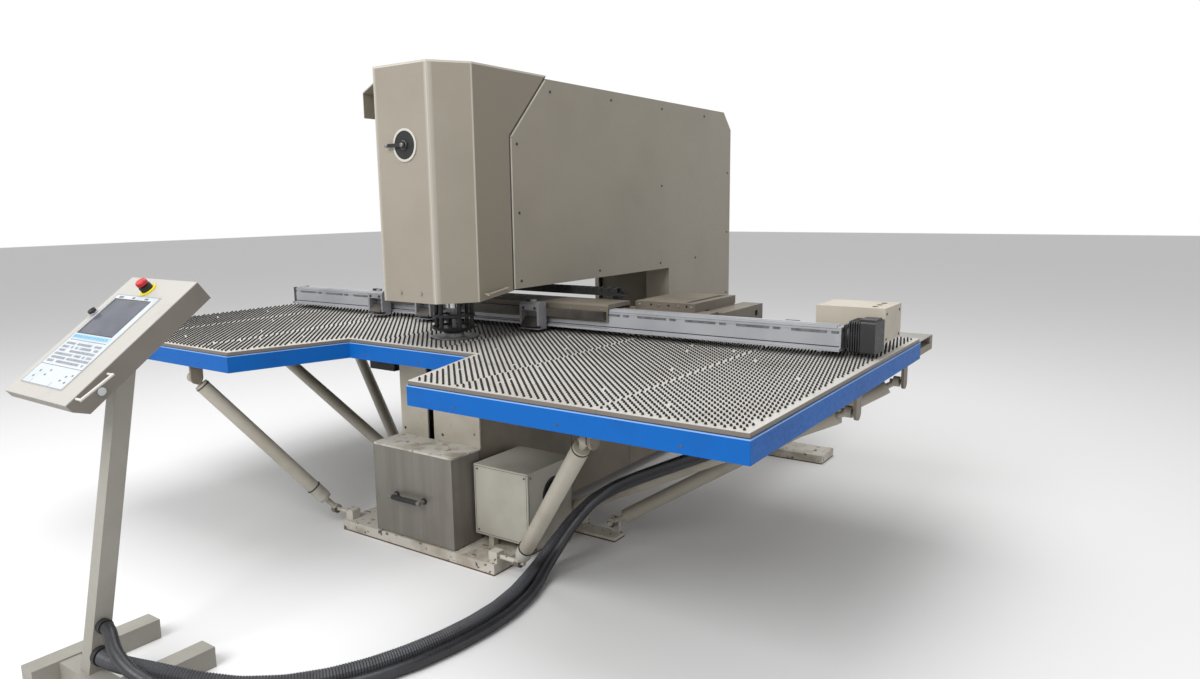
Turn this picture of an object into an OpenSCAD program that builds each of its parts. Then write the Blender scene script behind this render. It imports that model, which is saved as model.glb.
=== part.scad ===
// CNC punching machine: C-frame, hydraulic ram with turning tool, brush tables,
// travelling sheet gauge with clamps, and a free-standing control console.
// Origin: on the punch axis at floor level. +X is the operator's right, +Y runs
// from the operator toward the column, +Z is up. Millimetres.

/* [C-frame] */
// Half width over the two side plates
side_x = 245; // [225:1:255]
// Thickness of each side plate
plate_t = 60; // [40:1:70]
// Front end of the lower arm
low_y0 = -122; // [-140:1:-110]
// Front end of the upper arm's side plates
arm_y0 = 10; // [0:1:40]
// Depth of the throat, from the punch axis to the column
throat_y = 1640; // [1620:1:1700]
// Back of the column
column_y = 2400; // [2300:1:2430]
// Top of the lower arm
low_z1 = 900; // [880:1:920]
// Underside of the upper arm
arm_z0 = 1240; // [1230:1:1260]
// Top of the upper arm
arm_z1 = 2120; // [2050:1:2150]
// Half width of the nose block that carries the cylinder
nose_x = 184; // [160:1:184]
// Front of the nose block
nose_y0 = -150; // [-160:1:-130]
// Back of the nose block
nose_y1 = 210; // [180:1:260]
// Top of the nose block
nose_z1 = 1760; // [1700:1:1800]
// Corner radius in the throat
throat_r = 34; // [10:1:36]

/* [Floor plates] */
// Half length of the front base plate
base_x = 500; // [480:1:560]
// Front edge of the front base plate
base_y0 = -330; // [-350:1:-325]
// Back edge of the front base plate
base_y1 = 400; // [360:1:440]
// Thickness of the base plates
base_t = 52; // [40:1:60]
// Half length of the rear base beam
rear_base_x = 1160; // [1000:1:1250]
// Front edge of the rear base beam
rear_base_y0 = 1950; // [1900:1:1990]
// Back edge of the rear base beam
rear_base_y1 = 2160; // [2100:1:2250]
// Radius of the anchor holes
anchor_r = 11; // [8:0.5:14]
// Spacing of the front anchor holes
front_anchor_s = 700; // [640:1:760]
// Spacing of the rear anchor holes
rear_anchor_s = 2160; // [1800:1:2200]
// Edge of the square strut blocks
block_s = 48; // [36:1:56]

/* [Covers] */
// Thickness of the sheet covers
skin = 3; // [2:0.5:4]
// Half width over the arm covers
cover_x = 277; // [272:1:290]
// Front edge of the arm covers
cover_y0 = 125; // [120:1:140]
// Back of the arm covers
cover_y1 = 2455; // [2440:1:2500]
// Underside of the arm covers
cover_z0 = 1207; // [1200:1:1215]
// Top of the arm covers
cover_z1 = 2197; // [2180:1:2205]
// Lower end of the column covers
cover_low = 925; // [915:1:940]
// Column face in the throat
flange_y = 1603; // [1600:1:1610]
// Width of the right column flange
flange_w = 162; // [100:1:200]
// Width of the left column flange
flange_left_w = 22; // [15:1:40]

/* [Head hood] */
// Front face of the hood
hood_y0 = -280; // [-290:1:-275]
// Half width of the hood's front face
hood_front = 165; // [140:1:180]
// Where the hood's slanted faces meet its sides
hood_bend_y = -119; // [-140:1:-100]
// Lower edge of the hood at its front
hood_z0 = 1171; // [1165:1:1180]
// Rise of the lower edge toward the back
hood_rise = 30; // [20:1:36]
// Top of the hood
hood_z1 = 2212; // [2205:1:2230]
// Height of the dial
dial_z = 1865; // [1800:1:1900]
// Distance of the dial from the centre plane
dial_x = 20; // [0:1:30]
// Radius of the dial
dial_r = 72; // [60:1:85]
// Width of the side cover on the hood's left wall
bulge_w = 160; // [120:1:170]

/* [Punching unit] */
// Bore of the hydraulic cylinder
cyl_bore = 140; // [120:1:150]
// Outer diameter of the cylinder
cyl_d = 220; // [200:1:240]
// Top of the cylinder
cyl_z1 = 1800; // [1770:1:1850]
// Diameter of the piston rod
rod_d = 90; // [70:1:100]
// Length of the punching stroke
stroke = 40; // [30:1:45]
// Outer diameter of the turning sleeve
sleeve_d = 150; // [130:1:160]
// Diameter of the hold-down dish
dish_d = 220; // [180:1:230]
// Gap between the die and the hold-down dish
sheet_gap = 12; // [8:0.5:14]
// Diameter of the punch shank
punch_d = 40; // [30:1:50]
// Diameter of the punch tip
tip_d = 20; // [10:1:30]
// Diameter of the die
die_d = 88; // [70:1:95]
// Teeth of the large tool pulleys
pulley_teeth = 48; // [40:4:52]
// Teeth of the small drive pulleys
pinion_teeth = 16; // [14:1:20]
// Distance from the punch axis to the drive pulleys
drive_y = 330; // [310:1:350]

/* [Tables] */
// Top edge of the blue table rails
rail_z = 957; // [950:1:962]
// Height of the blue table rails
rail_h = 75; // [60:1:85]
// Thickness of the table boards
board_t = 18; // [15:1:20]
// Height of the brush tufts above the boards
tuft_h = 16; // [10:1:17]
// Spacing of the brush rows
tuft_pitch = 30; // [28:1:60]
// Half length of the tables
table_x = 1917; // [1900:1:1960]
// Front edge of the tables
table_y0 = -840; // [-860:1:-820]
// Back edge of the brushes
table_y1 = 1040; // [1020:1:1060]
// Back edge of the rear plates
table_y2 = 1290; // [1250:1:1320]
// Front edge of the table at the punching head
notch_y = -305; // [-320:1:-300]
// Half width of the notch at the head
notch_x0 = 405; // [390:1:420]
// Half width of the notch at the front
notch_x1 = 565; // [550:1:600]
// Width of one table board
board_w = 600; // [500:1:700]
// Distance of the first seam between boards from the centre
seam_x = 200; // [150:1:240]
// Distance of the seam in the front rail from the centre
rail_seam_x = 220; // [180:1:260]
// Radius of the clearance round the die
die_well_r = 118; // [110:1:125]
// Outer edge of the slot for the gauge legs
slot_x1 = 880; // [870:1:900]
// Inner edge of the slot for the gauge legs
slot_x0 = 700; // [680:1:712]
// Front end of the slot for the gauge legs
slot_y0 = 490; // [470:1:500]

/* [Struts] */
// Diameter of the strut tubes
strut_d = 66; // [50:1:70]
// Wall of the strut tubes
strut_wall = 4; // [3:0.5:6]

/* [Sheet gauge] */
// Half length of the gauge beam
beam_x = 1760; // [1700:1:1760]
// Front face of the gauge beam
beam_y0 = 383; // [380:1:390]
// Depth of the gauge beam
beam_w = 108; // [90:1:110]
// Underside of the gauge beam
beam_z0 = 1002; // [1000:1:1006]
// Top of the gauge beam
beam_z1 = 1098; // [1095:1:1100]
// Gauge travel toward the column
y_travel = 850; // [600:1:850]
// Right end of the carriage cover
car_x1 = 640; // [600:1:700]
// Left end of the carriage cover
car_x0 = -640; // [-700:1:-600]
// Outer end of the motor unit
motor_x1 = 1890; // [1880:1:1900]
// Width across the motor
motor_s = 129; // [110:1:130]
// Side of the drive box at the beam's end
box_x0 = 1597; // [1560:1:1620]
// Clamp positions along the carriage
clamp_x = [-895, -515, 230];
// Width of a clamp
clamp_w = 120; // [90:1:130]
// Thickness of the sheet that the clamps take
mouth = 10; // [8:0.5:12]

/* [Gauge guides] */
// Distance of each guide beam from the centre
guide_x = 790; // [780:1:800]
// Width of a guide beam
guide_w = 120; // [100:1:130]
// Underside of the guide beams
guide_z0 = 620; // [600:1:640]
// Height of the guide beams
guide_h = 120; // [100:1:130]
// Diameter of the feed screws
screw_d = 32; // [25:1:40]

/* [Slug drawer and cooler] */
// Half width of the drawer
drawer_x = 256; // [250:1:258]
// Front of the drawer
drawer_y0 = -320; // [-325:1:-310]
// Top of the drawer
drawer_z1 = 480; // [460:1:485]
// Drawer travel
drawer_travel = 250; // [200:1:270]
// Right side of the cooler box
cooler_x1 = 585; // [560:1:600]
// Front of the cooler box
cooler_y0 = -190; // [-200:1:-180]
// Back of the cooler box
cooler_y1 = 137; // [120:1:150]
// Underside of the cooler box
cooler_z0 = 105; // [90:1:120]
// Top of the cooler box
cooler_z1 = 437; // [420:1:450]
// Radius of the fan opening
fan_r = 77; // [60:1:90]

/* [Control console] */
// Left edge of the console
con_x0 = -280; // [-300:1:-260]
// Right edge of the console
con_x1 = 140; // [120:1:160]
// Length of the sloping panel
con_len = 554; // [530:1:580]
// Depth of the console case
con_depth = 72; // [60:1:90]
// Slope of the panel in degrees
con_tilt = 37; // [30:1:45]
// Height of the panel's near edge
con_z = 1025; // [1000:1:1050]
// Side of the square post
post_s = 60; // [50:1:70]
// Height of the foot tubes
foot_h = 75; // [60:1:80]

/* [Hidden] */
$fn = 48;

taupe = [0.60, 0.57, 0.52];
cream = [0.78, 0.76, 0.70];
steel = [0.62, 0.62, 0.63];
dark = [0.16, 0.16, 0.17];
rail_blue = [0.10, 0.32, 0.75];
white = [0.88, 0.87, 0.85];
silver = [0.78, 0.79, 0.80];

// Running clearance between round pieces, and a hair gap between seated ones
run = 0.3;
seat = 0.3;

inner_x = side_x - plate_t;
top_z = rail_z + board_t;
sheet_z = top_z + tuft_h + 6;
dish_z = sheet_z + sheet_gap;
pulley_z0 = 812;
upper_pulley_z0 = arm_z0 - 42;
large_r = pulley_teeth * 2;
small_r = pinion_teeth * 2;

function unit(v) = v / norm(v);
function left_of(v) = [-v.y, v.x];

// A closed outline, points counter-clockwise, moved inward by d
function inset(p, d) = let (n = len(p)) [for (i = [0:n - 1])
    let (u = unit(p[i] - p[(i + n - 1) % n]), v = unit(p[(i + 1) % n] - p[i]))
    p[i] + d * (left_of(u) + left_of(v)) / (1 + u * v)];

// An open path moved to its left by d
function beside(p, d) = let (n = len(p)) [for (i = [0:n - 1])
    let (u = unit(i > 0 ? p[i] - p[i - 1] : p[1] - p[0]),
        v = unit(i < n - 1 ? p[i + 1] - p[i] : p[i] - p[i - 1]))
    p[i] + d * (left_of(u) + left_of(v)) / (1 + u * v)];

// The section of a sheet folded along an open path
function folded(p, t) = let (q = beside(p, t), n = len(p))
    concat(p, [for (i = [n - 1:-1:0]) q[i]]);

// Profiles drawn as [Y, Z], extruded along X
module across(x0, x1) {
    translate([x0, 0, 0]) rotate([90, 0, 90]) linear_extrude(x1 - x0) children();
}

// Profiles drawn as [X, Z], extruded along Y
module along(y0, y1) {
    translate([0, y1, 0]) rotate([90, 0, 0]) linear_extrude(y1 - y0) children();
}

module block(a, b) {
    translate(a) cube(b - a);
}

module rod(p, q, d) {
    v = q - p;
    translate(p) rotate([0, acos(v.z / norm(v)), atan2(v.y, v.x)]) cylinder(d = d, h = norm(v));
}

module pipe(p, q, d, wall) {
    v = q - p;
    translate(p) rotate([0, acos(v.z / norm(v)), atan2(v.y, v.x)]) difference() {
        cylinder(d = d, h = norm(v));
        translate([0, 0, -1]) cylinder(d = d - 2 * wall, h = norm(v) + 2);
    }
}

module both_sides() {
    children();
    mirror([1, 0, 0]) children();
}

module round_rect(w, h, r) {
    translate([r, 0]) square([w - 2 * r, h]);
    translate([0, r]) square([w, h - 2 * r]);
    for (x = [r, w - r], y = [r, h - r]) translate([x, y]) circle(r);
}

module ring(d1, d0, h) {
    difference() {
        cylinder(d = d1, h = h);
        translate([0, 0, -1]) cylinder(d = d0, h = h + 2);
    }
}

// Floor plates

module anchor_holes(s, y) {
    for (x = [-s / 2, s / 2]) translate([x, y, -1]) cylinder(r = anchor_r, h = base_t + 2);
}

front_anchor_y = base_y0 + 40;
rear_anchor_y = (rear_base_y0 + rear_base_y1) / 2;
pin_z = base_t + block_s / 2;
pin_y = base_y0 + 20 + block_s / 2;
pin_d = 20;
eye_d = 46;
front_eye_x = 606;
side_eye = [[385, 176, 84], [700, 307, 78]];
foot_x = 740;

module base_plates() color(white) {
    difference() {
        block([-base_x, base_y0, 0], [base_x, base_y1, base_t]);
        anchor_holes(front_anchor_s, front_anchor_y);
    }
    difference() {
        block([-rear_base_x, rear_base_y0, 0], [rear_base_x, rear_base_y1, base_t]);
        anchor_holes(rear_anchor_s, rear_anchor_y);
    }
    both_sides() {
        block([base_x - block_s, base_y0 + 20, base_t],
            [base_x, base_y0 + 20 + block_s, base_t + block_s]);
        rod([base_x, pin_y, pin_z], [front_eye_x + eye_d / 2 + 8, pin_y, pin_z], pin_d);
        block([base_x, side_eye[1].y - 45, 0], [foot_x, side_eye[1].y + 45, 20]);
        for (e = side_eye) {
            block([e.x - 20, e.y + eye_d / 2 + 2, e.x > base_x ? 20 : base_t],
                [e.x + 20, e.y + eye_d / 2 + 16, e.z + 22]);
            rod([e.x, e.y - eye_d / 2 - 6, e.z], [e.x, e.y + eye_d / 2 + 2, e.z], pin_d);
        }
    }
}

// C-frame

bolster_t = 48;
web_t = 25;
lower_bore = 120;
bearing_bore = sleeve_d + 2 * run;
cyl_z0 = 1402;
motor_s2 = 110;
diag = 286 / 270;

module plate_outline() {
    nose_top = 1740;
    difference() {
        polygon([[low_y0, base_t], [column_y, base_t], [column_y, arm_z1],
            [arm_y0 + (arm_z1 - nose_top) / diag, arm_z1], [arm_y0, nose_top], [arm_y0, arm_z0],
            [throat_y, arm_z0], [throat_y, low_z1], [low_y0, low_z1]]);
        translate([column_y - 150, arm_z1 - 150]) difference() {
            square(151);
            circle(150);
        }
    }
    for (k = [0, 1]) translate([throat_y, k * (arm_z0 - low_z1) + low_z1]) mirror([0, k])
        difference() {
            translate([-throat_r, 0]) square(throat_r);
            translate([-throat_r, throat_r]) circle(throat_r);
        }
}

boss_z = [1290, 1600, 1860];
runner_z = 250;
boss_top = [[700, 2080], [1200, 2080], [1750, 2080], [2240, 2060]];
boss_low = [[760, 1260], [1450, 1260], [2330, 980], [2330, 1500], [1900, 1300]];
boss_at = concat([for (z = boss_z) [cover_y0 + 30, z - (z > 1800 ? 60 : 0)]], boss_top, boss_low);

web_x = inner_x - seat;
nose_step = 90;
bed_y = 280;
floor_y = 260;
upright_y = 900;
pinion_bore = 60;

// A web between the side plates, from [Y, Z] to [Y, Z]
module web(a, b) {
    block([-web_x, a.x, a.y], [web_x, b.x, b.y]);
}

module c_frame() color(taupe) {
    both_sides() {
        across(inner_x, side_x) plate_outline();
        for (b = boss_at) rod([side_x - 1, b.x, b.y], [cover_x - skin, b.x, b.y], 26);
        block([bin_x + 4, low_y0, runner_z - 16], [inner_x + 1, floor_y, runner_z]);
    }
    difference() {
        union() {
            block([-nose_x, nose_y0, arm_z0], [nose_x, nose_y1, nose_z1]);
            web([arm_y0, arm_z0], [nose_y1, nose_z1 - nose_step]);
        }
        translate([0, 0, arm_z0 - 1]) cylinder(d = bearing_bore, h = cyl_z0 - arm_z0 + 2);
        translate([0, 0, cyl_z0]) cylinder(d = cyl_d + 2 * run, h = nose_z1 - cyl_z0 + 1);
    }
    difference() {
        web([low_y0, low_z1 - bolster_t], [bed_y - seat, low_z1]);
        translate([0, 0, low_z1 - bolster_t - 1]) cylinder(d = lower_bore, h = bolster_t + 2);
    }
    difference() {
        web([bed_y, low_z1 - web_t], [throat_y + web_t, low_z1]);
        translate([0, drive_y, low_z1 - web_t - 1]) cylinder(d = pinion_bore, h = web_t + 2);
    }
    difference() {
        web([nose_y1 + seat, arm_z0], [throat_y - seat, arm_z0 + web_t]);
        translate([0, drive_y, arm_z0 - 1]) cylinder(d = pinion_bore, h = web_t + 2);
    }
    web([500, arm_z1 - web_t], [2200, arm_z1]);
    web([throat_y, low_z1 + seat], [throat_y + web_t, arm_z0 + web_t]);
    web([floor_y, base_t], [column_y, base_t + web_t]);
    web([column_y - web_t, base_t + web_t + seat], [column_y, arm_z1 - 200]);
    web([upright_y, base_t + web_t + seat], [upright_y + web_t, low_z1 - web_t - seat]);
}

// Hydraulic cylinder with its flange, valve block on top

flange_d = cyl_d + 60;
piston_h = 60;
piston_z = 1580;
gland_z1 = cyl_z0 + 40;

module ram_cylinder() color(steel) {
    difference() {
        union() {
            translate([0, 0, cyl_z0 + seat]) cylinder(d = cyl_d, h = cyl_z1 - cyl_z0 - seat);
            translate([0, 0, nose_z1]) cylinder(d = flange_d, h = 25);
        }
        translate([0, 0, cyl_z0]) cylinder(d = rod_d + 2 * run, h = 60);
        translate([0, 0, gland_z1]) cylinder(d = cyl_bore, h = cyl_z1 - 35 - gland_z1);
    }
}

module valve_block() color(dark) {
    translate([0, 0, cyl_z1]) {
        block([-80, -80, 0], [80, 80, 90]);
        translate([0, 0, 90]) cylinder(d = 90, h = 70);
        both_sides() rod([80, 0, 45], [130, 0, 45], 56);
        rod([0, 80, 45], [0, 220, 45], 60);
    }
}

// Turning drive of the upper and lower tools

pulley_h = 26;
motor_gap = 2;

// Toothed pulley with round grooves
module pulley(teeth, r, bore) {
    difference() {
        cylinder(r = r, h = pulley_h);
        for (i = [0:teeth - 1]) rotate((i + 0.5) * 360 / teeth) translate([r, 0, -1])
            cylinder(r = 3, h = pulley_h + 2, $fn = 16);
        translate([0, 0, -1]) cylinder(d = bore, h = pulley_h + 2);
    }
}

shaft_d = 22;

module rotation_motors() color(dark) {
    translate([0, drive_y, arm_z0 + 25]) {
        translate([-motor_s2 / 2, -motor_s2 / 2, 0]) linear_extrude(190)
            round_rect(motor_s2, motor_s2, 12);
        translate([0, 0, 190]) cylinder(d = 96, h = 60);
    }
    translate([0, drive_y, pulley_z0 - motor_gap]) {
        block([-100, -60, -10], [100, 60, 0]);
        translate([0, 0, -210]) cylinder(d = 104, h = 200);
        translate([0, 0, -270]) cylinder(d = 92, h = 60);
        for (x = [-85, 85], y = [-38, 40]) translate([x, y, 0])
            cylinder(d = 20, h = low_z1 - web_t - pulley_z0 + motor_gap);
    }
}

// One belt round both pulleys
module belt_outline(grow) hull() {
    circle(r = large_r + grow, $fn = 96);
    translate([0, drive_y]) circle(r = small_r + grow);
}

module timing_belts() color(dark) {
    for (z = [upper_pulley_z, pulley_z0]) translate([0, 0, z + 3]) linear_extrude(pulley_h - 6)
        difference() {
            belt_outline(run + 3);
            belt_outline(run);
        }
}

upper_pulley_z = arm_z0 - pulley_h - 2;

module upper_pinion() color(steel) {
    translate([0, drive_y, upper_pulley_z]) {
        pulley(pinion_teeth, small_r, shaft_d - 4);
        cylinder(d = shaft_d, h = pulley_h + 26);
    }
}

module lower_pinion() color(steel) {
    translate([0, drive_y, pulley_z0]) {
        pulley(pinion_teeth, small_r, shaft_d - 4);
        cylinder(d = shaft_d, h = pulley_h);
    }
}

// Upper tool: sleeve, columns and hold-down dish in one turned and welded holder

flange_z = hood_z0 + 4;
dish_h = 14;

module tool_holder() color(dark) {
    difference() {
        union() {
            translate([0, 0, flange_z + 12]) cylinder(d = sleeve_d, h = cyl_z0 - flange_z - 14);
            translate([0, 0, flange_z]) cylinder(d = dish_d - 14, h = 14);
            translate([0, 0, upper_pulley_z]) pulley(pulley_teeth, large_r, sleeve_d - 4);
        }
        translate([0, 0, flange_z - 1]) cylinder(d = rod_d + 2 * run, h = cyl_z0 - flange_z);
    }
    for (i = [0:5]) rotate(30 + 60 * i) translate([dish_d / 2 - 24, 0, dish_z + 11])
        cylinder(d = 20, h = flange_z - dish_z - 9);
    translate([0, 0, dish_z]) rotate_extrude($fn = 96) polygon([[tip_d / 2 + 1, 0],
        [dish_d / 2 - 34, 0], [dish_d / 2 - 4, 12], [dish_d / 2, dish_h + 8],
        [dish_d / 2 - 8, dish_h + 8], [dish_d / 2 - 12, dish_h], [punch_d / 2 + 2, dish_h],
        [punch_d / 2 + 2, 6], [tip_d / 2 + 1, 6]]);
    translate([0, 0, dish_z + 70]) ring(dish_d - 20, rod_d + 16, 12);
}

// Ram: piston and rod; punch at its lower end

rod_z0 = dish_z + 111;
tip_z = dish_z + 3;
tip_h = stroke + 10;

module ram_piston() color(steel) {
    translate([0, 0, piston_z]) cylinder(d = cyl_bore - 2 * run, h = piston_h);
    translate([0, 0, rod_z0]) cylinder(d = rod_d, h = piston_z + 1 - rod_z0);
}

module punch() color(silver) {
    translate([0, 0, tip_z + tip_h + 6]) cylinder(d = punch_d, h = rod_z0 - tip_z - tip_h - 6);
    translate([0, 0, tip_z + tip_h]) cylinder(d1 = tip_d, d2 = punch_d, h = 6);
    translate([0, 0, tip_z]) cylinder(d = tip_d, h = tip_h + 1);
    translate([0, 0, rod_z0 - 22]) cylinder(d = 70, h = 22);
}

// Lower tool

die_hole = tip_d + 2;
die_h = 16;

module die_holder() color(steel) {
    difference() {
        union() {
            translate([0, 0, pulley_z0]) pulley(pulley_teeth, large_r, lower_bore - 40);
            translate([0, 0, pulley_z0]) cylinder(d = lower_bore - 2 * run,
                h = sheet_z - die_h - pulley_z0);
            translate([0, 0, low_z1 + seat]) cylinder(d = 170, h = 20);
            translate([0, 0, top_z + 2])
                cylinder(d = 2 * die_well_r - 16, h = sheet_z - die_h - top_z - 2);
        }
        translate([0, 0, pulley_z0 - 1]) cylinder(d = 56, h = 300);
    }
}

module die() color(silver) {
    translate([0, 0, sheet_z - die_h]) difference() {
        cylinder(d = die_d, h = die_h);
        translate([0, 0, -1]) cylinder(d = die_hole, h = die_h + 2);
        translate([0, 0, -1]) cylinder(d = die_hole + 16, h = die_h - 4);
    }
}

chute_z1 = pulley_z0 - 12;
chute_z0 = drawer_z1 + 6;

module slug_chute() color(steel) {
    difference() {
        union() {
            translate([0, 0, chute_z0]) cylinder(d = 96, h = chute_z1 - chute_z0);
            translate([0, 0, chute_z1 - 70]) cylinder(d1 = 96, d2 = 150, h = 70);
            block([-inner_x, -60, chute_z0 + 40], [inner_x, 60, chute_z0 + 48]);
        }
        translate([0, 0, chute_z0 - 1]) cylinder(d = 88, h = chute_z1 - chute_z0 + 2);
        translate([0, 0, chute_z1 - 68]) cylinder(d1 = 88, d2 = 144, h = 69);
    }
}

// Sheet covers of the arm and column

arm_side = [[cover_y0, cover_z0], [flange_y, cover_z0], [flange_y, cover_low],
    [cover_y1, cover_low], [cover_y1, cover_z1 - 109], [cover_y1 - 109, cover_z1],
    [cover_y0 + 270, cover_z1], [cover_y0, cover_z1 - 270 * diag]];
hinge_x = cover_x + 8;
hinge_z = [1330, 1560, 1790];
knuckle = 40;

flange_in = 24;

// A flat side with one folded flange running along the arm's edges
module side_panel() {
    path = [for (i = [3, 4, 5, 6, 7, 0, 1]) arm_side[i]];
    across(cover_x - skin, cover_x) polygon(arm_side);
    across(cover_x - flange_in, cover_x - skin + 0.5) polygon(folded(path, skin));
}

module arm_panel_right() color(taupe) {
    side_panel();
}

// The left panel also carries the fixed knuckles and pins of the hood's hinges
module arm_panel_left() color(taupe) {
    mirror([1, 0, 0]) side_panel();
    for (z = hinge_z) {
        translate([-hinge_x, cover_y0 - 2, z]) {
            cylinder(d = 14, h = knuckle);
            cylinder(d = 7, h = 2 * knuckle);
        }
        block([-hinge_x - 1, cover_y0 + 3, z], [-cover_x, cover_y0 + 40, z + knuckle]);
    }
}

module arm_top_cover() color(taupe) {
    half = cover_x - flange_in - seat;
    path = [arm_side[7] + [skin + 1, 0], arm_side[6] + [0, -seat], arm_side[5] - [0, seat],
        arm_side[4] - [seat, 0], arm_side[3] - [seat, 0]];
    difference() {
        across(-half, half) polygon(folded(path, -skin));
        for (y = [900:120:1500]) translate([-60, y, cover_z1 - 20]) cube([120, 40, 30]);
    }
    both_sides() for (y = [700, 1750])
        block([side_x - 40, y, arm_z1], [side_x - 10, y + 60, cover_z1 - skin - 0.5]);
}

module throat_cover() color(cream) {
    half = cover_x - flange_in - seat;
    side = cover_x - skin - seat;
    back = flange_y + skin + seat;
    block([-half, cover_y0 + 2, cover_z0], [half, back + skin, cover_z0 + skin]);
    block([side - flange_w, back, cover_low], [side, back + skin, cover_z0 + skin]);
    block([-side, back, cover_low], [-side + flange_left_w, back + skin, cover_z0 + skin]);
    block([side - flange_w, back + skin - 0.5, cover_low],
        [side - flange_w + skin, throat_y, cover_z0 + skin]);
    for (x = [-side, side_x - 50]) block([x, back + skin - 0.5, cover_low + 40],
        [x + 60, throat_y, cover_low + 60]);
}

// Head hood: a welded sheet shell, hinged at its left rear edge

hood_y1 = cover_y0 - 3;
hood_gap = 2;
hood_oct = [[-hood_front, hood_y0], [hood_front, hood_y0], [cover_x, hood_bend_y],
    [cover_x, 460], [-cover_x, 460], [-cover_x, hood_bend_y]];
hood_profile = [[hood_y0 - 1, hood_z0], [hood_bend_y, hood_z0], [hood_y1, hood_z0 + hood_rise],
    [hood_y1, arm_side[7].y + hood_gap],
    [hood_y1 + (hood_z1 - arm_side[7].y - hood_gap) / diag, hood_z1],
    [hood_y0 - 1, hood_z1]];
bulge_y = 110;
grip = [[-78, hood_z0 + 32], [56, hood_z0 + 49]];
grip_x = cover_x + 20;
bulge_z = [hood_z1 - 200, hood_z1 - 72, hood_z1 - 6];

module hood_shell() color(taupe) {
    difference() {
        intersection() {
            translate([0, 0, hood_z0 - 1]) linear_extrude(hood_z1 - hood_z0 + 2) polygon(hood_oct);
            across(-cover_x - 1, cover_x + 1) polygon(hood_profile);
        }
        translate([0, 0, hood_z0 - 2]) linear_extrude(hood_z1 - skin - hood_z0 + 2)
            polygon(inset(hood_oct, skin));
        block([-cover_x + skin, hood_y1 - 1, hood_z0 - 2], [cover_x - skin, 500, hood_z1 - skin]);
        translate([dial_x, hood_y0 - 1, dial_z]) rotate([-90, 0, 0])
            cylinder(d = 30, h = skin + 2);
    }
    difference() {
        translate([dial_x, hood_y0 - 6, dial_z]) rotate([-90, 0, 0]) cylinder(r = dial_r, h = 6);
        translate([dial_x, hood_y0 - 7, dial_z]) rotate([-90, 0, 0]) cylinder(r = dial_r - 10, h = 8);
    }
    for (x = [-51, 79]) translate([x, hood_y0 - 7, hood_z0 + 43]) rotate([-90, 0, 0])
        cylinder(d = 14, h = 7);
    along(-bulge_y, bulge_y) difference() {
        polygon([[-cover_x, bulge_z[0]], [-cover_x, bulge_z[2]], [-cover_x - 30, bulge_z[2]],
            [-cover_x - bulge_w, bulge_z[1]], [-cover_x - bulge_w, bulge_z[0] + 12],
            [-cover_x - bulge_w + 12, bulge_z[0]]]);
        polygon([[-cover_x - skin, bulge_z[0] - 1], [-cover_x - skin, bulge_z[2] - 6],
            [-cover_x - 30, bulge_z[2] - 6], [-cover_x - bulge_w + skin, bulge_z[1] - 4],
            [-cover_x - bulge_w + skin, bulge_z[0] - 1]]);
    }
    for (z = hinge_z) {
        difference() {
            union() {
                translate([-hinge_x, cover_y0 - 2, z + knuckle + seat])
                    cylinder(d = 14, h = knuckle - seat);
                block([-hinge_x - 1, cover_y0 - 42, z + knuckle + seat],
                    [-cover_x, cover_y0 - 3, z + 2 * knuckle]);
            }
            translate([-hinge_x, cover_y0 - 2, z]) cylinder(d = 7 + 2 * run, h = 3 * knuckle);
        }
    }
    for (e = grip) rod([cover_x - 1, e.x, e.y], [grip_x + 5, e.x, e.y], 10);
    rod([grip_x, grip[0].x - 6, grip[0].y - 0.8], [grip_x, grip[1].x + 6, grip[1].y + 0.8], 10);
}

module dial_lever() color(dark) {
    translate([dial_x, hood_y0 - seat, dial_z]) rotate([90, 0, 0]) {
        cylinder(r = dial_r - 10 - run, h = 5);
        cylinder(d = 34, h = 22);
        translate([-dial_r - 18, -8, 12]) linear_extrude(9) round_rect(dial_r + 18, 16, 7);
        translate([0, 0, -skin - 12]) cylinder(d = 30 - 2 * run, h = skin + 13);
        translate([0, 0, -skin - 12]) cylinder(d = 44, h = 10);
    }
}

// Lower front: two cover plates with a gap, drawer and its lid

module lower_front_cover() color(cream) {
    y = low_y0 - 8;
    difference() {
        block([-258, y, drawer_z1 + 9], [-76, low_y0, low_z1 - 4]);
        translate([-230, y - 1, low_z1 - 60]) rotate([-90, 0, 0]) cylinder(d = 12, h = 10);
    }
    difference() {
        block([-36, y, drawer_z1 + 9], [258, low_y0, low_z1 - 4]);
        translate([225, y - 1, drawer_z1 + 70]) rotate([-90, 0, 0]) cylinder(d = 12, h = 10);
    }
}

module drawer_lid() color(white) {
    translate([0, 0, drawer_z1 + 1]) linear_extrude(8) {
        translate([-drawer_x - 4, drawer_y0 + 15])
            square([2 * drawer_x + 8, low_y0 - 8 - drawer_y0 - 15]);
        translate([-drawer_x + 11, drawer_y0]) square([2 * drawer_x - 22, 20]);
        for (x = [-1, 1]) translate([x * (drawer_x - 11), drawer_y0 + 15]) circle(15);
    }
}

bin_x = inner_x - 12;
bin_y1 = 160;
bin_z = [96, 440];

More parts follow.
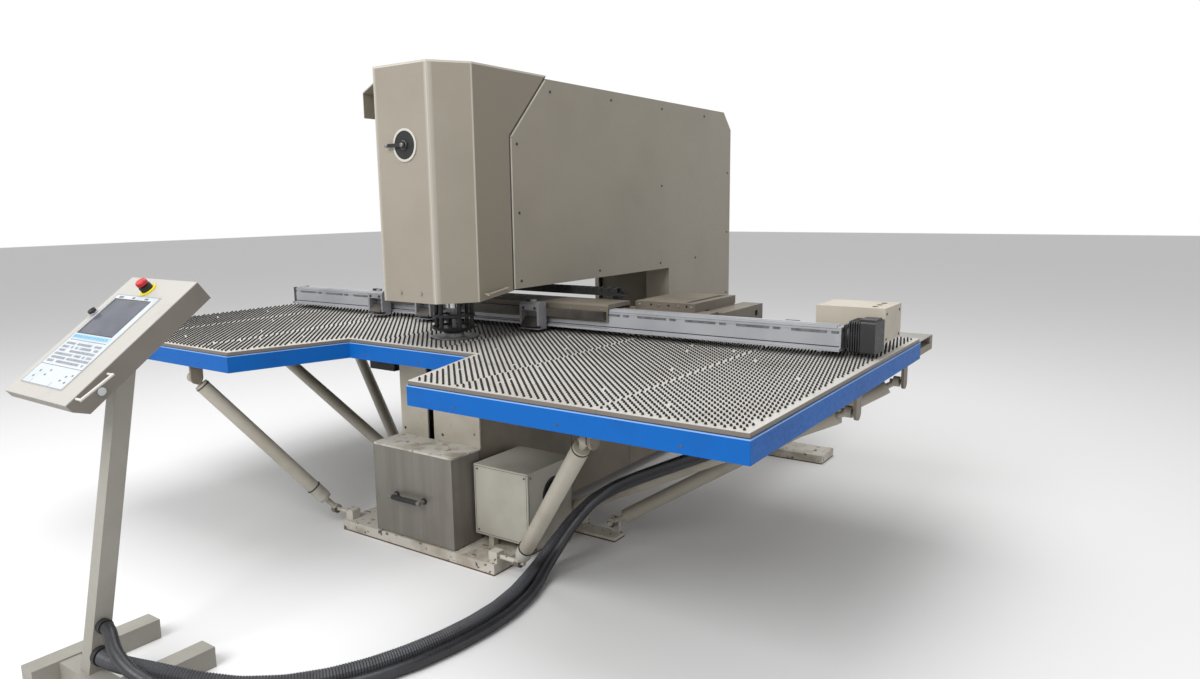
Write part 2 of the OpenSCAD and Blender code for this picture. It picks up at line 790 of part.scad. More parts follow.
module slug_drawer() color(steel) {
    y1 = low_y0 - 14;
    difference() {
        union() {
            block([-drawer_x, drawer_y0, base_t + 4], [drawer_x, y1, drawer_z1]);
            block([-bin_x, y1 - 3, bin_z[0]], [bin_x, bin_y1, bin_z[1]]);
        }
        block([-drawer_x + skin, drawer_y0 + skin, base_t + 4 + skin],
            [drawer_x - skin, y1 - skin, drawer_z1 + 1]);
        block([-bin_x + skin, y1 - 20, bin_z[0] + skin], [bin_x - skin, bin_y1 - skin, drawer_z1 + 1]);
    }
    for (x = [-103, 78]) rod([x, drawer_y0, 258], [x, drawer_y0 - 40, 258], 16);
    rod([-115, drawer_y0 - 40, 258], [90, drawer_y0 - 40, 258], 20);
    both_sides() block([bin_x - 0.5, low_y0, runner_z + seat], [inner_x - seat, bin_y1, runner_z + 12]);
}

// Oil cooler at the right side of the lower arm

fan_y = (cooler_y0 + cooler_y1) / 2 + 22;
fan_z = cooler_z0 + 192;
fan_x = cooler_x1 - skin - 44;
blades = 7;

module cooler_box() color(cream) {
    difference() {
        block([side_x + 25, cooler_y0, cooler_z0], [cooler_x1, cooler_y1, cooler_z1]);
        block([side_x + 25 + skin, cooler_y0 + skin, cooler_z0 + skin],
            [cooler_x1 - skin, cooler_y1 - skin, cooler_z1 - skin]);
        translate([cooler_x1 - 10, fan_y, fan_z]) rotate([0, 90, 0]) cylinder(r = fan_r, h = 20);
        for (i = [0:7]) block([side_x + 90 + 30 * i, cooler_y1 - 6, cooler_z0 + 80],
            [side_x + 102 + 30 * i, cooler_y1 + 1, cooler_z1 - 80]);
    }
    block([fan_x - 16, fan_y - 26, fan_z - 26], [fan_x, fan_y + 26, fan_z + 26]);
    block([fan_x - 16, cooler_y0 + skin - 0.5, fan_z - 10],
        [fan_x, cooler_y1 - skin + 0.5, fan_z + 10]);
    for (z = [cooler_z0 + 40, cooler_z1 - 60])
        block([side_x, cooler_y0 + 80, z], [side_x + 25.5, cooler_y1 - 20, z + 20]);
    for (y = [cooler_y0 + 20, cooler_y1 - 50]) block([330, y, base_t], [360, y + 30, cooler_z0 + 0.5]);
}

module fan_guard() color(dark) {
    translate([cooler_x1, fan_y, fan_z]) rotate([0, 90, 0]) {
        ring(2 * fan_r + 10, 2 * fan_r - 4, 5);
        for (r = [22, 42, 60]) ring(2 * r + 4, 2 * r, 4);
        cylinder(r = 12, h = 4);
        for (i = [0:3]) rotate(90 * i + 45) translate([0, -2, 0]) cube([fan_r, 4, 4]);
    }
}

module fan_rotor() color(dark) {
    translate([fan_x, fan_y, fan_z]) rotate([0, 90, 0]) {
        translate([0, 0, seat]) cylinder(d = 44, h = 34);
        for (i = [1:blades]) rotate(i * 360 / blades) translate([18, 0, 8]) rotate([0, 90, 0])
            linear_extrude(fan_r - 24) polygon([[-1, -16], [1.5, -16], [-14, 16], [-16.5, 16]]);
    }
}

// Tables

outline = [[-table_x, table_y0], [-notch_x1, table_y0], [-notch_x0, notch_y],
    [notch_x0, notch_y], [notch_x1, table_y0], [table_x, table_y0],
    [table_x, table_y1], [-table_x, table_y1]];
rail_t = 4;
rail_z0 = rail_z - rail_h;

// One straight rail with mitred ends, from corner i of the table to corner j
module table_rail(i, j) {
    u = seat * unit(outline[j] - outline[i]);
    inner = inset(outline, rail_t);
    translate([0, 0, rail_z0]) linear_extrude(rail_h)
        polygon([outline[i] + u, outline[j] - u, inner[j] - u, inner[i] + u]);
}

module table_rails() color(rail_blue) {
    for (i = [0, 1, 3, 4, 5]) table_rail(i, i + 1);
    table_rail(7, 0);
    difference() {
        table_rail(2, 3);
        block([rail_seam_x - seat, notch_y - 1, 0], [rail_seam_x + seat, notch_y + 9, rail_z + 1]);
    }
}

tube = 50;
tube_z0 = rail_z0 + 10;
mid_z = (tube_z0 + rail_z) / 2;
lug_plate_t = 9;
in_x = table_x - rail_t;
lug_front = [[1275, -715, 830], [926, -799, 820]];
lug_side = [[1868, 176, 812], [1868, 846, 806]];

module lug(p, dir, top) {
    x = p.x + dir * (eye_d / 2 + 2);
    across(min(x, x + dir * 12), max(x, x + dir * 12)) {
        translate([p.y, p.z]) circle(30);
        translate([p.y - 30, p.z]) square([60, top - p.z]);
    }
    rod([p.x - dir * (eye_d / 2 + 6), p.y, p.z], [x, p.y, p.z], pin_d);
}

// Bars along Y in the lower layer, bars along X on them
module half_frame(front) {
    x1 = side_x + seat;
    y2 = table_y2 - 5;
    for (x = [slot_x0 - 10 - tube, slot_x1 + 10, 1300])
        block([x, table_y0 + rail_t + 1, tube_z0], [x + tube, y2, mid_z]);
    block([x1, -61, tube_z0], [x1 + tube, y2, mid_z]);
    block([in_x - tube, table_y0 + rail_t + 1, tube_z0], [in_x, y2, mid_z]);
    for (p = lug_side) lug(p, 1, tube_z0 + 1);
    for (y = [table_y0 + rail_t, -60, 360])
        block([y < notch_y ? notch_x1 + 20 : x1, y, mid_z + seat], [in_x, y + tube, rail_z]);
    block([x1, y2 - tube, mid_z + seat], [slot_x0 - 10, y2, rail_z]);
    block([slot_x1 + 10, y2 - tube, mid_z + seat], [in_x, y2, rail_z]);
    lug(front, front.x > 1000 ? 1 : -1, tube_z0 - lug_plate_t + 1);
    block([slot_x1 + 10, front.y - 30, tube_z0 - lug_plate_t], [1350, front.y + 30, tube_z0 - seat]);
}

module table_frames() color(taupe) {
    half_frame(lug_front[0]);
    mirror([1, 0, 0]) half_frame(lug_front[1]);
    block([-slot_x0, notch_y + rail_t, mid_z + seat], [slot_x0, notch_y + rail_t + tube, rail_z]);
    for (y = [200, 1200]) block([-side_x, y, low_z1], [side_x, y + tube, rail_z]);
}

module board_area() {
    difference() {
        polygon(inset(outline, 5));
        circle(r = die_well_r, $fn = 96);
        for (s = [-1, 1]) translate([s > 0 ? slot_x0 : -slot_x1, slot_y0])
            square([slot_x1 - slot_x0, table_y1]);
    }
}

board_edges = [-table_x, for (x = [-seam_x - 2 * board_w:board_w:-seam_x]) x,
    for (x = [seam_x:board_w:table_x - 200]) x, table_x];

module table_boards() color(white) for (i = [0:len(board_edges) - 2])
    intersection() {
        translate([0, 0, rail_z]) linear_extrude(board_t) board_area();
        block([board_edges[i] + 0.5, table_y0, 0], [board_edges[i + 1] - 0.5, table_y1, 2 * top_z]);
    }

// Rows of brush tufts, drawn as ridges cut to the table's outline
row_edge = 24;
tuft_w = 12;

function front_edge(x) = let (a = abs(x)) a > notch_x1 ? table_y0 : a < notch_x0 ? notch_y
    : notch_y + (table_y0 - notch_y) * (a - notch_x0) / (notch_x1 - notch_x0);

module ridge(x, y0, y1) {
    along(y0, y1) polygon([[x - tuft_w / 2, top_z], [x + tuft_w / 2, top_z],
        [x + 2, top_z + tuft_h], [x - 2, top_z + tuft_h]]);
}

module brush_rows() color(dark) {
    n = floor((table_x - row_edge) / tuft_pitch);
    for (i = [-n:n]) {
        x = i * tuft_pitch;
        a = abs(x);
        y0 = max(front_edge(a - tuft_w), front_edge(a + tuft_w)) + row_edge;
        well = die_well_r + 12;
        in_slot = a > slot_x0 - row_edge && a < slot_x1 + row_edge;
        y1 = in_slot ? slot_y0 - 10 : table_y1 - row_edge;
        if (a < well) {
            ridge(x, y0, -sqrt(well * well - a * a) - 4);
            ridge(x, sqrt(well * well - a * a) + 4, y1);
        } else ridge(x, y0, y1);
    }
}

module rear_plates() color(steel) {
    translate([0, 0, rail_z]) linear_extrude(skin) difference() {
        translate([-table_x + 5, table_y1 + seat]) square([2 * table_x - 10, table_y2 - table_y1]);
        for (s = [-1, 1]) translate([s > 0 ? slot_x0 : -slot_x1, table_y1])
            square([slot_x1 - slot_x0, 400]);
    }
}

// Struts

drain_d = 8;

// A tube with a plug, a rod and an eye at each end, and a drain hole
module strut(low, high, a, b, low_pin) {
    u = unit(high - low);
    h = [13, 0, 0];
    difference() {
        union() {
            pipe(low + a * u, high - b * u, strut_d, strut_wall);
            rod(low + (a - 12) * u, low + (a + 4) * u, strut_d - 2);
            rod(high - (b + 4) * u, high - (b - 12) * u, strut_d - 2);
            rod(low, low + (a - 10) * u, 26);
            rod(high - (b - 10) * u, high, 26);
            rod(low - 13 * low_pin, low + 13 * low_pin, eye_d);
            rod(high - h, high + h, eye_d);
        }
        rod(high - 5 * h, high + 5 * h, pin_d + 2 * run);
        rod(low - 60 * low_pin, low + 60 * low_pin, pin_d + 2 * run);
        rod(low + (a + 30) * u, low + (a + 30) * u - [0, 0, strut_d], drain_d);
    }
}

module front_struts() color(cream) {
    strut([front_eye_x, pin_y, pin_z], lug_front[0], 90, 60, [1, 0, 0]);
    mirror([1, 0, 0]) strut([front_eye_x, pin_y, pin_z], lug_front[1], 90, 60, [1, 0, 0]);
}

module side_struts() color(cream) {
    both_sides() for (i = [0, 1]) strut(side_eye[i], lug_side[i], 80, 60, [0, 1, 0]);
}

// Guides of the sheet gauge, hidden under the tables

guide_y0 = 500;
guide_y1 = rear_base_y1;
guide_z1 = guide_z0 + guide_h;
guide_rail_h = 25;
guide_x0 = guide_x - guide_w / 2;
guide_x1 = guide_x + guide_w / 2;
guide_rail_x = [guide_x0 + 16, guide_x1 - 16];
screw_y_z = guide_z1 + 30;

module y_guides() color(steel) {
    both_sides() {
        difference() {
            block([guide_x0, guide_y0, guide_z0], [guide_x1, guide_y1, guide_z1]);
            block([guide_x0 + 10, guide_y0 - 1, guide_z0 + 10],
                [guide_x1 - 10, guide_y1 + 1, guide_z1 - 12]);
        }
        for (x = guide_rail_x) across(x - 10, x + 10)
            translate([guide_y0 + 20, guide_z1]) square([guide_y1 - guide_y0 - 60, guide_rail_h]);
        block([guide_x - 50, rear_base_y0 + 40, base_t],
            [guide_x + 50, rear_base_y1 - 40, guide_z0]);
        block([side_x, 780, guide_z0 - 100], [guide_x1, 880, guide_z0]);
        across(side_x, side_x + 20) polygon([[740, 300], [760, 300], [900, guide_z0 - 100],
            [740, guide_z0 - 100]]);
        block([side_x, rear_base_y0 + 60, guide_z0 + 20],
            [guide_x0, rear_base_y1 - 60, guide_z1 - 20]);
    }
    for (y = [guide_y0 + 2, guide_y1 - 32]) difference() {
        block([guide_x - 28, y, guide_z1], [guide_x + 28, y + 30, screw_y_z + 26]);
        translate([guide_x, y - 1, screw_y_z]) rotate([-90, 0, 0]) cylinder(d = screw_d - 8 + 2 * run, h = 32);
    }
}

module y_motor() color(dark) {
    translate([guide_x, guide_y1, screw_y_z]) {
        difference() {
            block([-60, 0, -guide_h - 30], [60, 20, 60]);
            rotate([-90, 0, 0]) translate([0, 0, -1]) cylinder(d = 40, h = 22);
        }
        translate([0, 40, 0]) rotate([-90, 0, 0]) {
            translate([-55, -55, 0]) linear_extrude(170) round_rect(110, 110, 12);
            translate([0, 0, 170]) cylinder(d = 96, h = 50);
        }
        for (x = [-45, 45], z = [-45, 45]) rod([x, 20, z], [x, 40, z], 14);
    }
}

module y_screw() color(steel) translate([guide_x, 0, screw_y_z]) rotate([-90, 0, 0]) {
    translate([0, 0, guide_y0 + 32 + seat]) cylinder(d = screw_d, h = guide_y1 - guide_y0 - 64 - 2 * seat);
    translate([0, 0, guide_y0 + 2]) cylinder(d = screw_d - 8, h = guide_y1 - guide_y0 + 24);
    translate([0, 0, guide_y1 + 24]) cylinder(d = 30, h = 16 - seat);
}

// Black switch box under the left table, with its short bent cable to the frame

module switch_box() color(dark) {
    block([-560, -55, rail_z0 - 108], [-380, 35, tube_z0 - 28]);
    block([-540, -50, tube_z0 - 30], [-400, -20, mid_z]);
    block([-600, -20, rail_z0 - 90], [-555, 20, rail_z0 - 40]);
    rod([-381, -10, rail_z0 - 80], [-side_x, -10, rail_z0 - 80], 14);
}

// Free conduits from the table to the console

main_d = 60;
second_d = 45;
route_main = [[1640, -35, 872], [1640, -35, 800], [1620, 0, 725], [1560, 52, 672], [1460, 100, 642],
    [1350, 118, 594], [1230, 120, 535], [1100, 120, 471], [980, 120, 412], [860, 108, 350],
    [760, 60, 280], [692, -20, 190], [656, -110, 102], [652, -205, 46], [676, -310, 32],
    [716, -440, 32], [742, -590, 32], [744, -740, 32], [728, -880, 32], [696, -1020, 32],
    [650, -1150, 32], [586, -1270, 32], [500, -1380, 34], [400, -1480, 46], [300, -1565, 74],
    [200, -1634, 106], [112, -1677, 118], [50, -1698, 122], [-10, -1702, 124], [-18, -1702, 124]];
route_second = [[1540, -35, 872], [1540, -35, 800], [1515, -10, 735], [1440, 30, 672], [1350, 58, 606],
    [1230, 62, 547], [1100, 62, 483], [980, 60, 424], [870, 46, 358], [788, -4, 280],
    [740, -80, 190], [716, -158, 106], [714, -245, 46], [742, -330, 24], [780, -440, 24],
    [806, -580, 24], [812, -730, 24], [798, -880, 24], [768, -1030, 24], [718, -1170, 24],
    [650, -1300, 24], [564, -1420, 24], [464, -1530, 28], [366, -1618, 56], [270, -1682, 100],
    [180, -1716, 146], [100, -1716, 184], [44, -1698, 209], [0, -1683, 222], [-18, -1683, 222]];

function direction(p, i) = unit(p[min(i + 1, len(p) - 1)] - p[max(i - 1, 0)]);
function carried(p, i, n) = i == len(p) ? n
    : let (t = direction(p, i), v = n[i - 1] - (n[i - 1] * t) * t) carried(p, i + 1, concat(n, [unit(v)]));

module swept_tube(p, d) {
    sides = 10;
    last = len(p) - 1;
    n = carried(p, 1, [[0, 1, 0]]);
    points = [for (i = [0:last], k = [0:sides - 1]) let (t = direction(p, i), a = k * 360 / sides)
        p[i] + d / 2 * (cos(a) * n[i] + sin(a) * cross(t, n[i]))];
    walls = [for (i = [0:last - 1], k = [0:sides - 1]) let (j = (k + 1) % sides)
        each [[i * sides + k, (i + 1) * sides + k, (i + 1) * sides + j],
        [i * sides + k, (i + 1) * sides + j, i * sides + j]]];
    polyhedron(points, concat(walls, [[for (k = [0:sides - 1]) k]],
        [[for (k = [sides - 1:-1:0]) last * sides + k]]), convexity = 6);
}

module conduit_main() color(dark) swept_tube(route_main, main_d);

module conduit_second() color(dark) swept_tube(route_second, second_d);

module cable_glands() color(dark) {
    for (r = [[route_main[0], main_d], [route_second[0], second_d]])
        translate([r[0].x, r[0].y, r[0].z]) {
            cylinder(d = r[1] + 14, h = mid_z - r[0].z);
        }
    for (r = [[route_main[29], main_d], [route_second[29], second_d]])
        translate([con_post_x, r[0].y, r[0].z]) rotate([0, 90, 0])
            cylinder(d = r[1] + 6, h = r[0].x - con_post_x);
}

// Sheet gauge: saddle, beam, drive

leg_y = [670, 1070];
cross_y = [602, 738];
beam_y1 = beam_y0 + beam_w;
screw_y = beam_y1 - 24;
screw_z = (beam_z0 + beam_z1) / 2 + 10;
beam_wall = 6;

module saddle_frame() color(taupe) {
    block([-1040, cross_y[0], beam_z0], [1040, cross_y[1], beam_z1 - 20]);
    both_sides() {
        difference() {
            union() {
                block([slot_x0 + 20, leg_y[0], guide_z1 + guide_rail_h + seat],
                    [slot_x1 - 20, leg_y[1], beam_z1 - 20]);
                for (x = guide_rail_x) block([x - 22, leg_y[0], guide_z1 + 6],
                    [x + 22, leg_y[1], guide_z1 + guide_rail_h + 1]);
            }
            for (x = guide_rail_x) block([x - 10 - seat, leg_y[0] - 1, guide_z1],
                [x + 10 + seat, leg_y[1] + 1, guide_z1 + guide_rail_h + seat]);
            block([guide_x - 30, leg_y[0] - 1, guide_z1], [guide_x + 30, leg_y[1] + 1, screw_y_z + 32]);
        }
        for (x = [420, 1000]) block([x, beam_y1, beam_z0 + 8], [x + 40, cross_y[0], beam_z1 - 30]);
    }
    difference() {
        block([guide_x - 30.5, 840, guide_z1 + 8], [guide_x + 30.5, 900, screw_y_z + 33]);
        translate([guide_x, 839, screw_y_z]) rotate([-90, 0, 0]) cylinder(d = screw_d + 2 * run, h = 62);
    }
}

plate_x = [626, 959];
plate_y = [648, 1105];
side_box_x = [962, 1072];

module saddle_plates() color(taupe) {
    both_sides() {
        difference() {
            block([plate_x[0], plate_y[0], beam_z1 - 20], [plate_x[1], plate_y[1], beam_z1 + 22]);
            for (i = [0:2]) translate([plate_x[0] + 90 + 100 * i, plate_y[0] - 1, beam_z1 + 6])
                rotate([-90, 0, 0]) cylinder(d = 12, h = 14);
            block([plate_x[1] - 70, plate_y[0] + 40, beam_z1 + 16],
                [plate_x[1] - 30, plate_y[1] - 40, beam_z1 + 30]);
        }
        difference() {
            block([side_box_x[0], cross_y[1], beam_z0 - 8], [side_box_x[1], 1200, beam_z1 - 24]);
            block([side_box_x[0] + 6, cross_y[1] + 6, beam_z0 - 9],
                [side_box_x[1] - 6, 1194, beam_z1 - 30]);
            translate([side_box_x[1] - 8, 1120, beam_z0 + 30]) rotate([0, 90, 0])
                cylinder(d = 34, h = 10);
        }
        block([plate_x[1] - 20, cross_y[1] + 60, beam_z1 - 44], [side_box_x[0] + 0.5, 1090, beam_z1 - 20]);
    }
}

module beam_section() {
    w = beam_wall;
    difference() {
        polygon([[beam_y0, beam_z0 + 14], [beam_y0 - 18, beam_z0 + 10], [beam_y0 - 18, beam_z0],
            [beam_y1, beam_z0], [beam_y1, beam_z1], [beam_y0, beam_z1]]);
        translate([beam_y0 + w, beam_z0 + w]) square([(beam_w - 3 * w) / 2 - 4, beam_z1 - beam_z0 - 2 * w]);
        translate([screw_y - 22, beam_z0 + w]) square([40, beam_z1 - beam_z0 - 2 * w]);
        translate([screw_y - 8, beam_z1 - w - 1]) square([16, w + 2]);
        translate([beam_y0 - 1, beam_z1 - 26]) square([4, 12]);
    }
}

carriage_rail_y = [beam_y0 + 12, beam_y0 + 44];

module x_beam() color(silver) {
    across(-beam_x, beam_x) beam_section();
    across(-beam_x + 20, beam_x - 20) for (y = carriage_rail_y)
        translate([y - 6, beam_z1]) square([12, 7]);
    for (x = [-beam_x, beam_x - 12]) difference() {
        block([x, screw_y - 24, beam_z0 + 1], [x + 12, screw_y + 20, beam_z1]);
        translate([x - 1, screw_y, screw_z]) rotate([0, 90, 0]) cylinder(d = screw_d - 12 + 2 * run, h = 14);
    }
    block([-beam_x - 6, beam_y0 - 2, beam_z0 - 2], [-beam_x, beam_y1 + 2, beam_z1 + 4]);
}

module x_motor() color(dark) {
    x0 = beam_x + 14;
    c = [screw_y, screw_z];
    for (i = [0:4]) translate([x0 + 10 + 9.5 * i, 0, 0]) across(0, 5)
        translate([c.x - motor_s / 2, c.y - motor_s / 2]) round_rect(motor_s, motor_s, 10);
    translate([x0, c.x, c.y]) rotate([0, 90, 0]) difference() {
        cylinder(d = motor_s - 14, h = 56);
        translate([0, 0, -1]) cylinder(d = 24, h = 30);
    }
    difference() {
        across(beam_x, x0 + 2) translate([c.x - 50, c.y - 46]) square([100, 92]);
        translate([beam_x - 1, c.x, c.y]) rotate([0, 90, 0]) cylinder(d = 46, h = 20);
    }
    across(x0 + 56, motor_x1)
        translate([c.x - motor_s / 2, c.y - motor_s / 2]) round_rect(motor_s, motor_s, 8);
    block([x0 + 50, c.x - 54, c.y + motor_s / 2 - 0.5], [motor_x1 - 4, c.x + 40, c.y + motor_s / 2 + 8]);
}

module x_screw() color(steel) translate([0, screw_y, screw_z]) rotate([0, 90, 0]) {
    translate([0, 0, -beam_x + 12 + seat]) cylinder(d = screw_d - 4, h = 2 * beam_x - 24 - 2 * seat);
    translate([0, 0, -beam_x + 1]) cylinder(d = screw_d - 12, h = 2 * beam_x + 12);
}

drive_box_y = [screw_y + motor_s / 2 + 12, 790];

module x_drive_box() color(cream) {
    y = drive_box_y;
    z = [1020, 1165];
    difference() {
        block([box_x0, y[0], z[0]], [motor_x1 - 3, y[1], z[1]]);
        block([box_x0 + skin, y[0] + skin, z[0] - 1], [motor_x1 - 3 - skin, y[1] - skin, z[1] - skin]);
        for (i = [0:2]) translate([motor_x1 - 60, y[0] + 50 + 66 * i, z[1] - 6]) {
            cylinder(d = 24, h = 8);
            translate([-12, 0, 0]) cube([24, 20, 8]);
            translate([0, 20, 0]) cylinder(d = 24, h = 8);
        }
    }
    block([box_x0 + 40, beam_y1, z[0]], [beam_x - 20, y[0] + 0.5, z[0] + 30]);
}

chain_x = [-600, 580];
chain_y = [588, 650];
chain_z = [1146, 1186];

// Energy chain: open links in a folded tray on two brackets
module energy_chain() color(dark) {
    across(chain_x[0], chain_x[1]) polygon(folded([[chain_y[0] - 4, chain_z[0] + 14],
        [chain_y[0] - 4, chain_z[0] - 3], [chain_y[1] + 4, chain_z[0] - 3],
        [chain_y[1] + 4, chain_z[0] + 14]], 3));
    pitch = 46;
    for (x = [chain_x[0] + 4:pitch:chain_x[1] - pitch]) translate([x, 0, 0]) {
        for (y = [chain_y[0], chain_y[1] - 6])
            block([0, y, chain_z[0]], [pitch - 4, y + 6, chain_z[1] - 6]);
        for (z = [chain_z[0], chain_z[1] - 10])
            block([14, chain_y[0] + 5, z], [28, chain_y[1] - 5, z + 4]);
        for (y = [chain_y[0] + 6, chain_y[1] - 10])
            block([-6, y, chain_z[0] + 4], [12, y + 4, chain_z[1] - 12]);
    }
    for (x = [-560, 520])
        block([x, cross_y[0], beam_z1 - 20], [x + 30, chain_y[1] + 4, chain_z[0] - 3]);
}

// Carriage with its cover, clamp bar and clamps

car_y = [beam_y0 - 8, beam_y1 + 84];
car_z = [1041, 1127];
plate_z0 = beam_z1 + 8;

module carriage_cover() color(taupe) {
    r = 8;
    path = [[car_y[1], car_z[1] - 36], [car_y[1], car_z[1]], [car_y[0] + r, car_z[1]],
        [car_y[0], car_z[1] - r], [car_y[0], car_z[0]]];
    difference() {
        across(car_x0, car_x1) polygon(folded(path, skin));
        for (x = [car_x0 + 60:170:car_x1 - 40]) translate([x, car_y[0] - 1, car_z[0] + 34])
            rotate([-90, 0, 0]) cylinder(d = 7, h = 6);
    }
    for (x = [car_x0, car_x1 - skin]) across(x, x + skin) polygon([[car_y[0] + 1, car_z[1] - r],
        [car_y[0] + 1, beam_z1 + 9], [car_y[1] - 1, beam_z1 + 9], [car_y[1] - 1, car_z[1] - 1],
        [car_y[0] + r, car_z[1] - 1]]);
}

bar_z = [1054, 1094];
bar_y0 = car_y[0] - 26;
nut_d = 33;

module clamp_bar() color(steel) {
    block([clamp_x[0] - clamp_w / 2 - 10, bar_y0, bar_z[0]], [car_x1 - 10, car_y[0], bar_z[1]]);
    across(car_x0 + 20, car_x1 - 20) polygon([[car_y[0] + skin, plate_z0 + 1],
        [car_y[1] - skin - 6, plate_z0 + 1], [car_y[1] - skin - 6, car_z[1] - skin],
        [car_y[0] + skin + 7, car_z[1] - skin], [car_y[0] + skin, car_z[1] - skin - 7]]);
    block([-60, screw_y - 6, screw_z + nut_d / 2 - 1], [60, screw_y + 6, plate_z0 + 2]);
    translate([-60, screw_y, screw_z]) rotate([0, 90, 0]) ring(nut_d, screw_d - 4 + 2 * run, 120);
    for (x = [car_x0 + 60, car_x1 - 160], y = carriage_rail_y) difference() {
        block([x, y - 13, beam_z1 + 1], [x + 100, y + 13, plate_z0 + 2]);
        block([x - 1, y - 6 - seat, beam_z1], [x + 101, y + 6 + seat, beam_z1 + 7 + seat]);
    }
}

jaw_z = sheet_z - 5.4;
jaw_pivot = [bar_y0 - 26, sheet_z + mouth + 34];
clamp_y0 = bar_y0 - 62;
tip_y = 278;

module clamp_bodies() color(dark) for (x = clamp_x) {
    difference() {
        across(x - clamp_w / 2, x + clamp_w / 2) polygon([[tip_y, jaw_z + 2.4], [tip_y + 16, jaw_z],
            [bar_y0, jaw_z], [bar_y0, car_z[1]], [clamp_y0 + 12, car_z[1]],
            [clamp_y0, car_z[1] - 12], [clamp_y0, jaw_z + 20], [clamp_y0, sheet_z],
            [tip_y, sheet_z]]);
        across(x - clamp_w / 2 + 12, x + clamp_w / 2 - 12) polygon([[clamp_y0 - 60, sheet_z],
            [bar_y0 - 8, sheet_z], [bar_y0 - 8, bar_z[1] - 8], [clamp_y0 - 60, bar_z[1] - 8]]);
        block([x - clamp_w / 2 - 1, clamp_y0 - 60, sheet_z],
            [x + clamp_w / 2 + 1, clamp_y0 + 26, sheet_z + mouth + 3]);
    }
    rod([x - clamp_w / 2 + 1, jaw_pivot.x, jaw_pivot.y],
        [x + clamp_w / 2 - 1, jaw_pivot.x, jaw_pivot.y], 12);
    translate([x, clamp_y0 + 34, car_z[1] - 1]) cylinder(d = 34, h = 12);
}

module clamp_jaw(x) color(steel) difference() {
    across(x - clamp_w / 2 + 14, x + clamp_w / 2 - 14) polygon([[tip_y, sheet_z + mouth],
        [clamp_y0 + 30, sheet_z + mouth], [jaw_pivot.x + 8, jaw_pivot.y - 10],
        [jaw_pivot.x + 8, jaw_pivot.y + 10], [jaw_pivot.x - 12, jaw_pivot.y + 10],
        [clamp_y0 + 2, sheet_z + mouth + 18], [tip_y, sheet_z + mouth + 6]]);
    rod([x - clamp_w, jaw_pivot.x, jaw_pivot.y], [x + clamp_w, jaw_pivot.x, jaw_pivot.y], 12 + 2 * run);
}

module clamp_jaw_1() {
    clamp_jaw(clamp_x[0]);
}

module clamp_jaw_2() {
    clamp_jaw(clamp_x[1]);
}

module clamp_jaw_3() {
    clamp_jaw(clamp_x[2]);
}

// Console, drawn in the plane of its sloping panel: x across, y up the slope

con_y = -1793;
con_post_x = -40;
lean = 0.194;
post_y0 = -1756;
foot_y = [-1845, -1412];
lid_t = 3;
case_z1 = -lid_t - seat;
knob_at = [con_x0 + 18, con_len - 189];
estop_at = [-90, con_len - 57];
screen = [[-230, con_len - 279], [0, con_len - 114]];
lock_at = [-1689, 1050];
con_grip = [[-1761, 1040], [-1664, 1100]];

module on_panel() {
    translate([0, con_y, con_z]) rotate([con_tilt, 0, 0]) children();
}

// Where a leaning edge of the post that starts at y0 meets the underside of the case
case_back = [con_y + (con_depth + seat) * sin(con_tilt), con_z - (con_depth + seat) * cos(con_tilt)];
function post_rise(y0) = (case_back.y + tan(con_tilt) * (y0 - case_back.x)) / (1 - tan(con_tilt) * lean);
function under_case(y0) = [y0 + lean * post_rise(y0), post_rise(y0)];

module console_stand() color(cream) {
    for (x = [-293, 72]) difference() {
        block([x, foot_y[0], 0], [x + 80, foot_y[1], foot_h]);
        block([x + 5, foot_y[0] + 5, 5], [x + 75, foot_y[1] + 1, foot_h - 5]);
    }
    block([-213, post_y0 - 4, 0], [72, post_y0 + post_s + 4, foot_h - 5]);
    across(con_post_x - post_s, con_post_x) polygon([[post_y0 + lean * 60, 60],
        [post_y0 + post_s + lean * 60, 60], under_case(post_y0 + post_s), under_case(post_y0)]);
}

module console_case() color(cream) {
    on_panel() {
        difference() {
            across(con_x0, con_x1) polygon([[30, -con_depth], [con_len, -con_depth],
                [con_len, case_z1], [0, case_z1], [0, -30]]);
            across(con_x0 + 2, con_x1 - 2) polygon([[31, 2 - con_depth], [con_len - 2, 2 - con_depth],
                [con_len - 2, 1], [2, 1], [2, -29]]);
            translate([con_x1 - 5, 0, 0]) rotate([-con_tilt, 0, 0])
                translate([0, lock_at.x - con_y, lock_at.y - con_z]) rotate([0, 90, 0])
                    cylinder(d = 17, h = 10);
        }
    }
    for (e = con_grip) rod([con_x1 - 1, e.x, e.y], [con_x1 + 32, e.x, e.y], 8);
    u = unit(con_grip[1] - con_grip[0]);
    rod([con_x1 + 30, con_grip[0].x - 4 * u.x, con_grip[0].y - 4 * u.y],
        [con_x1 + 30, con_grip[1].x + 4 * u.x, con_grip[1].y + 4 * u.y], 9);
}

module console_panel() color(cream) on_panel() difference() {
    union() {
        across(con_x0, con_x1) translate([0, -lid_t]) square([con_len, lid_t]);
        translate([screen[0].x - 15, 45, -0.5]) cube([285, con_len - 132, 2]);
    }
    block([screen[0].x, screen[0].y, -1], [screen[1].x, screen[1].y, 3]);
    translate([estop_at.x, estop_at.y, -10]) cylinder(d = 17, h = 20);
    translate([knob_at.x, knob_at.y, -10]) cylinder(d = 9, h = 20);
}

module console_controls() color(dark) on_panel() {
    translate([estop_at.x, estop_at.y, 0]) {
        ring(56, 16.6, 3);
        ring(42, 16.6, 22);
    }
    translate([estop_at.x, estop_at.y, -lid_t - 28]) ring(36, 16.6, 28);
}

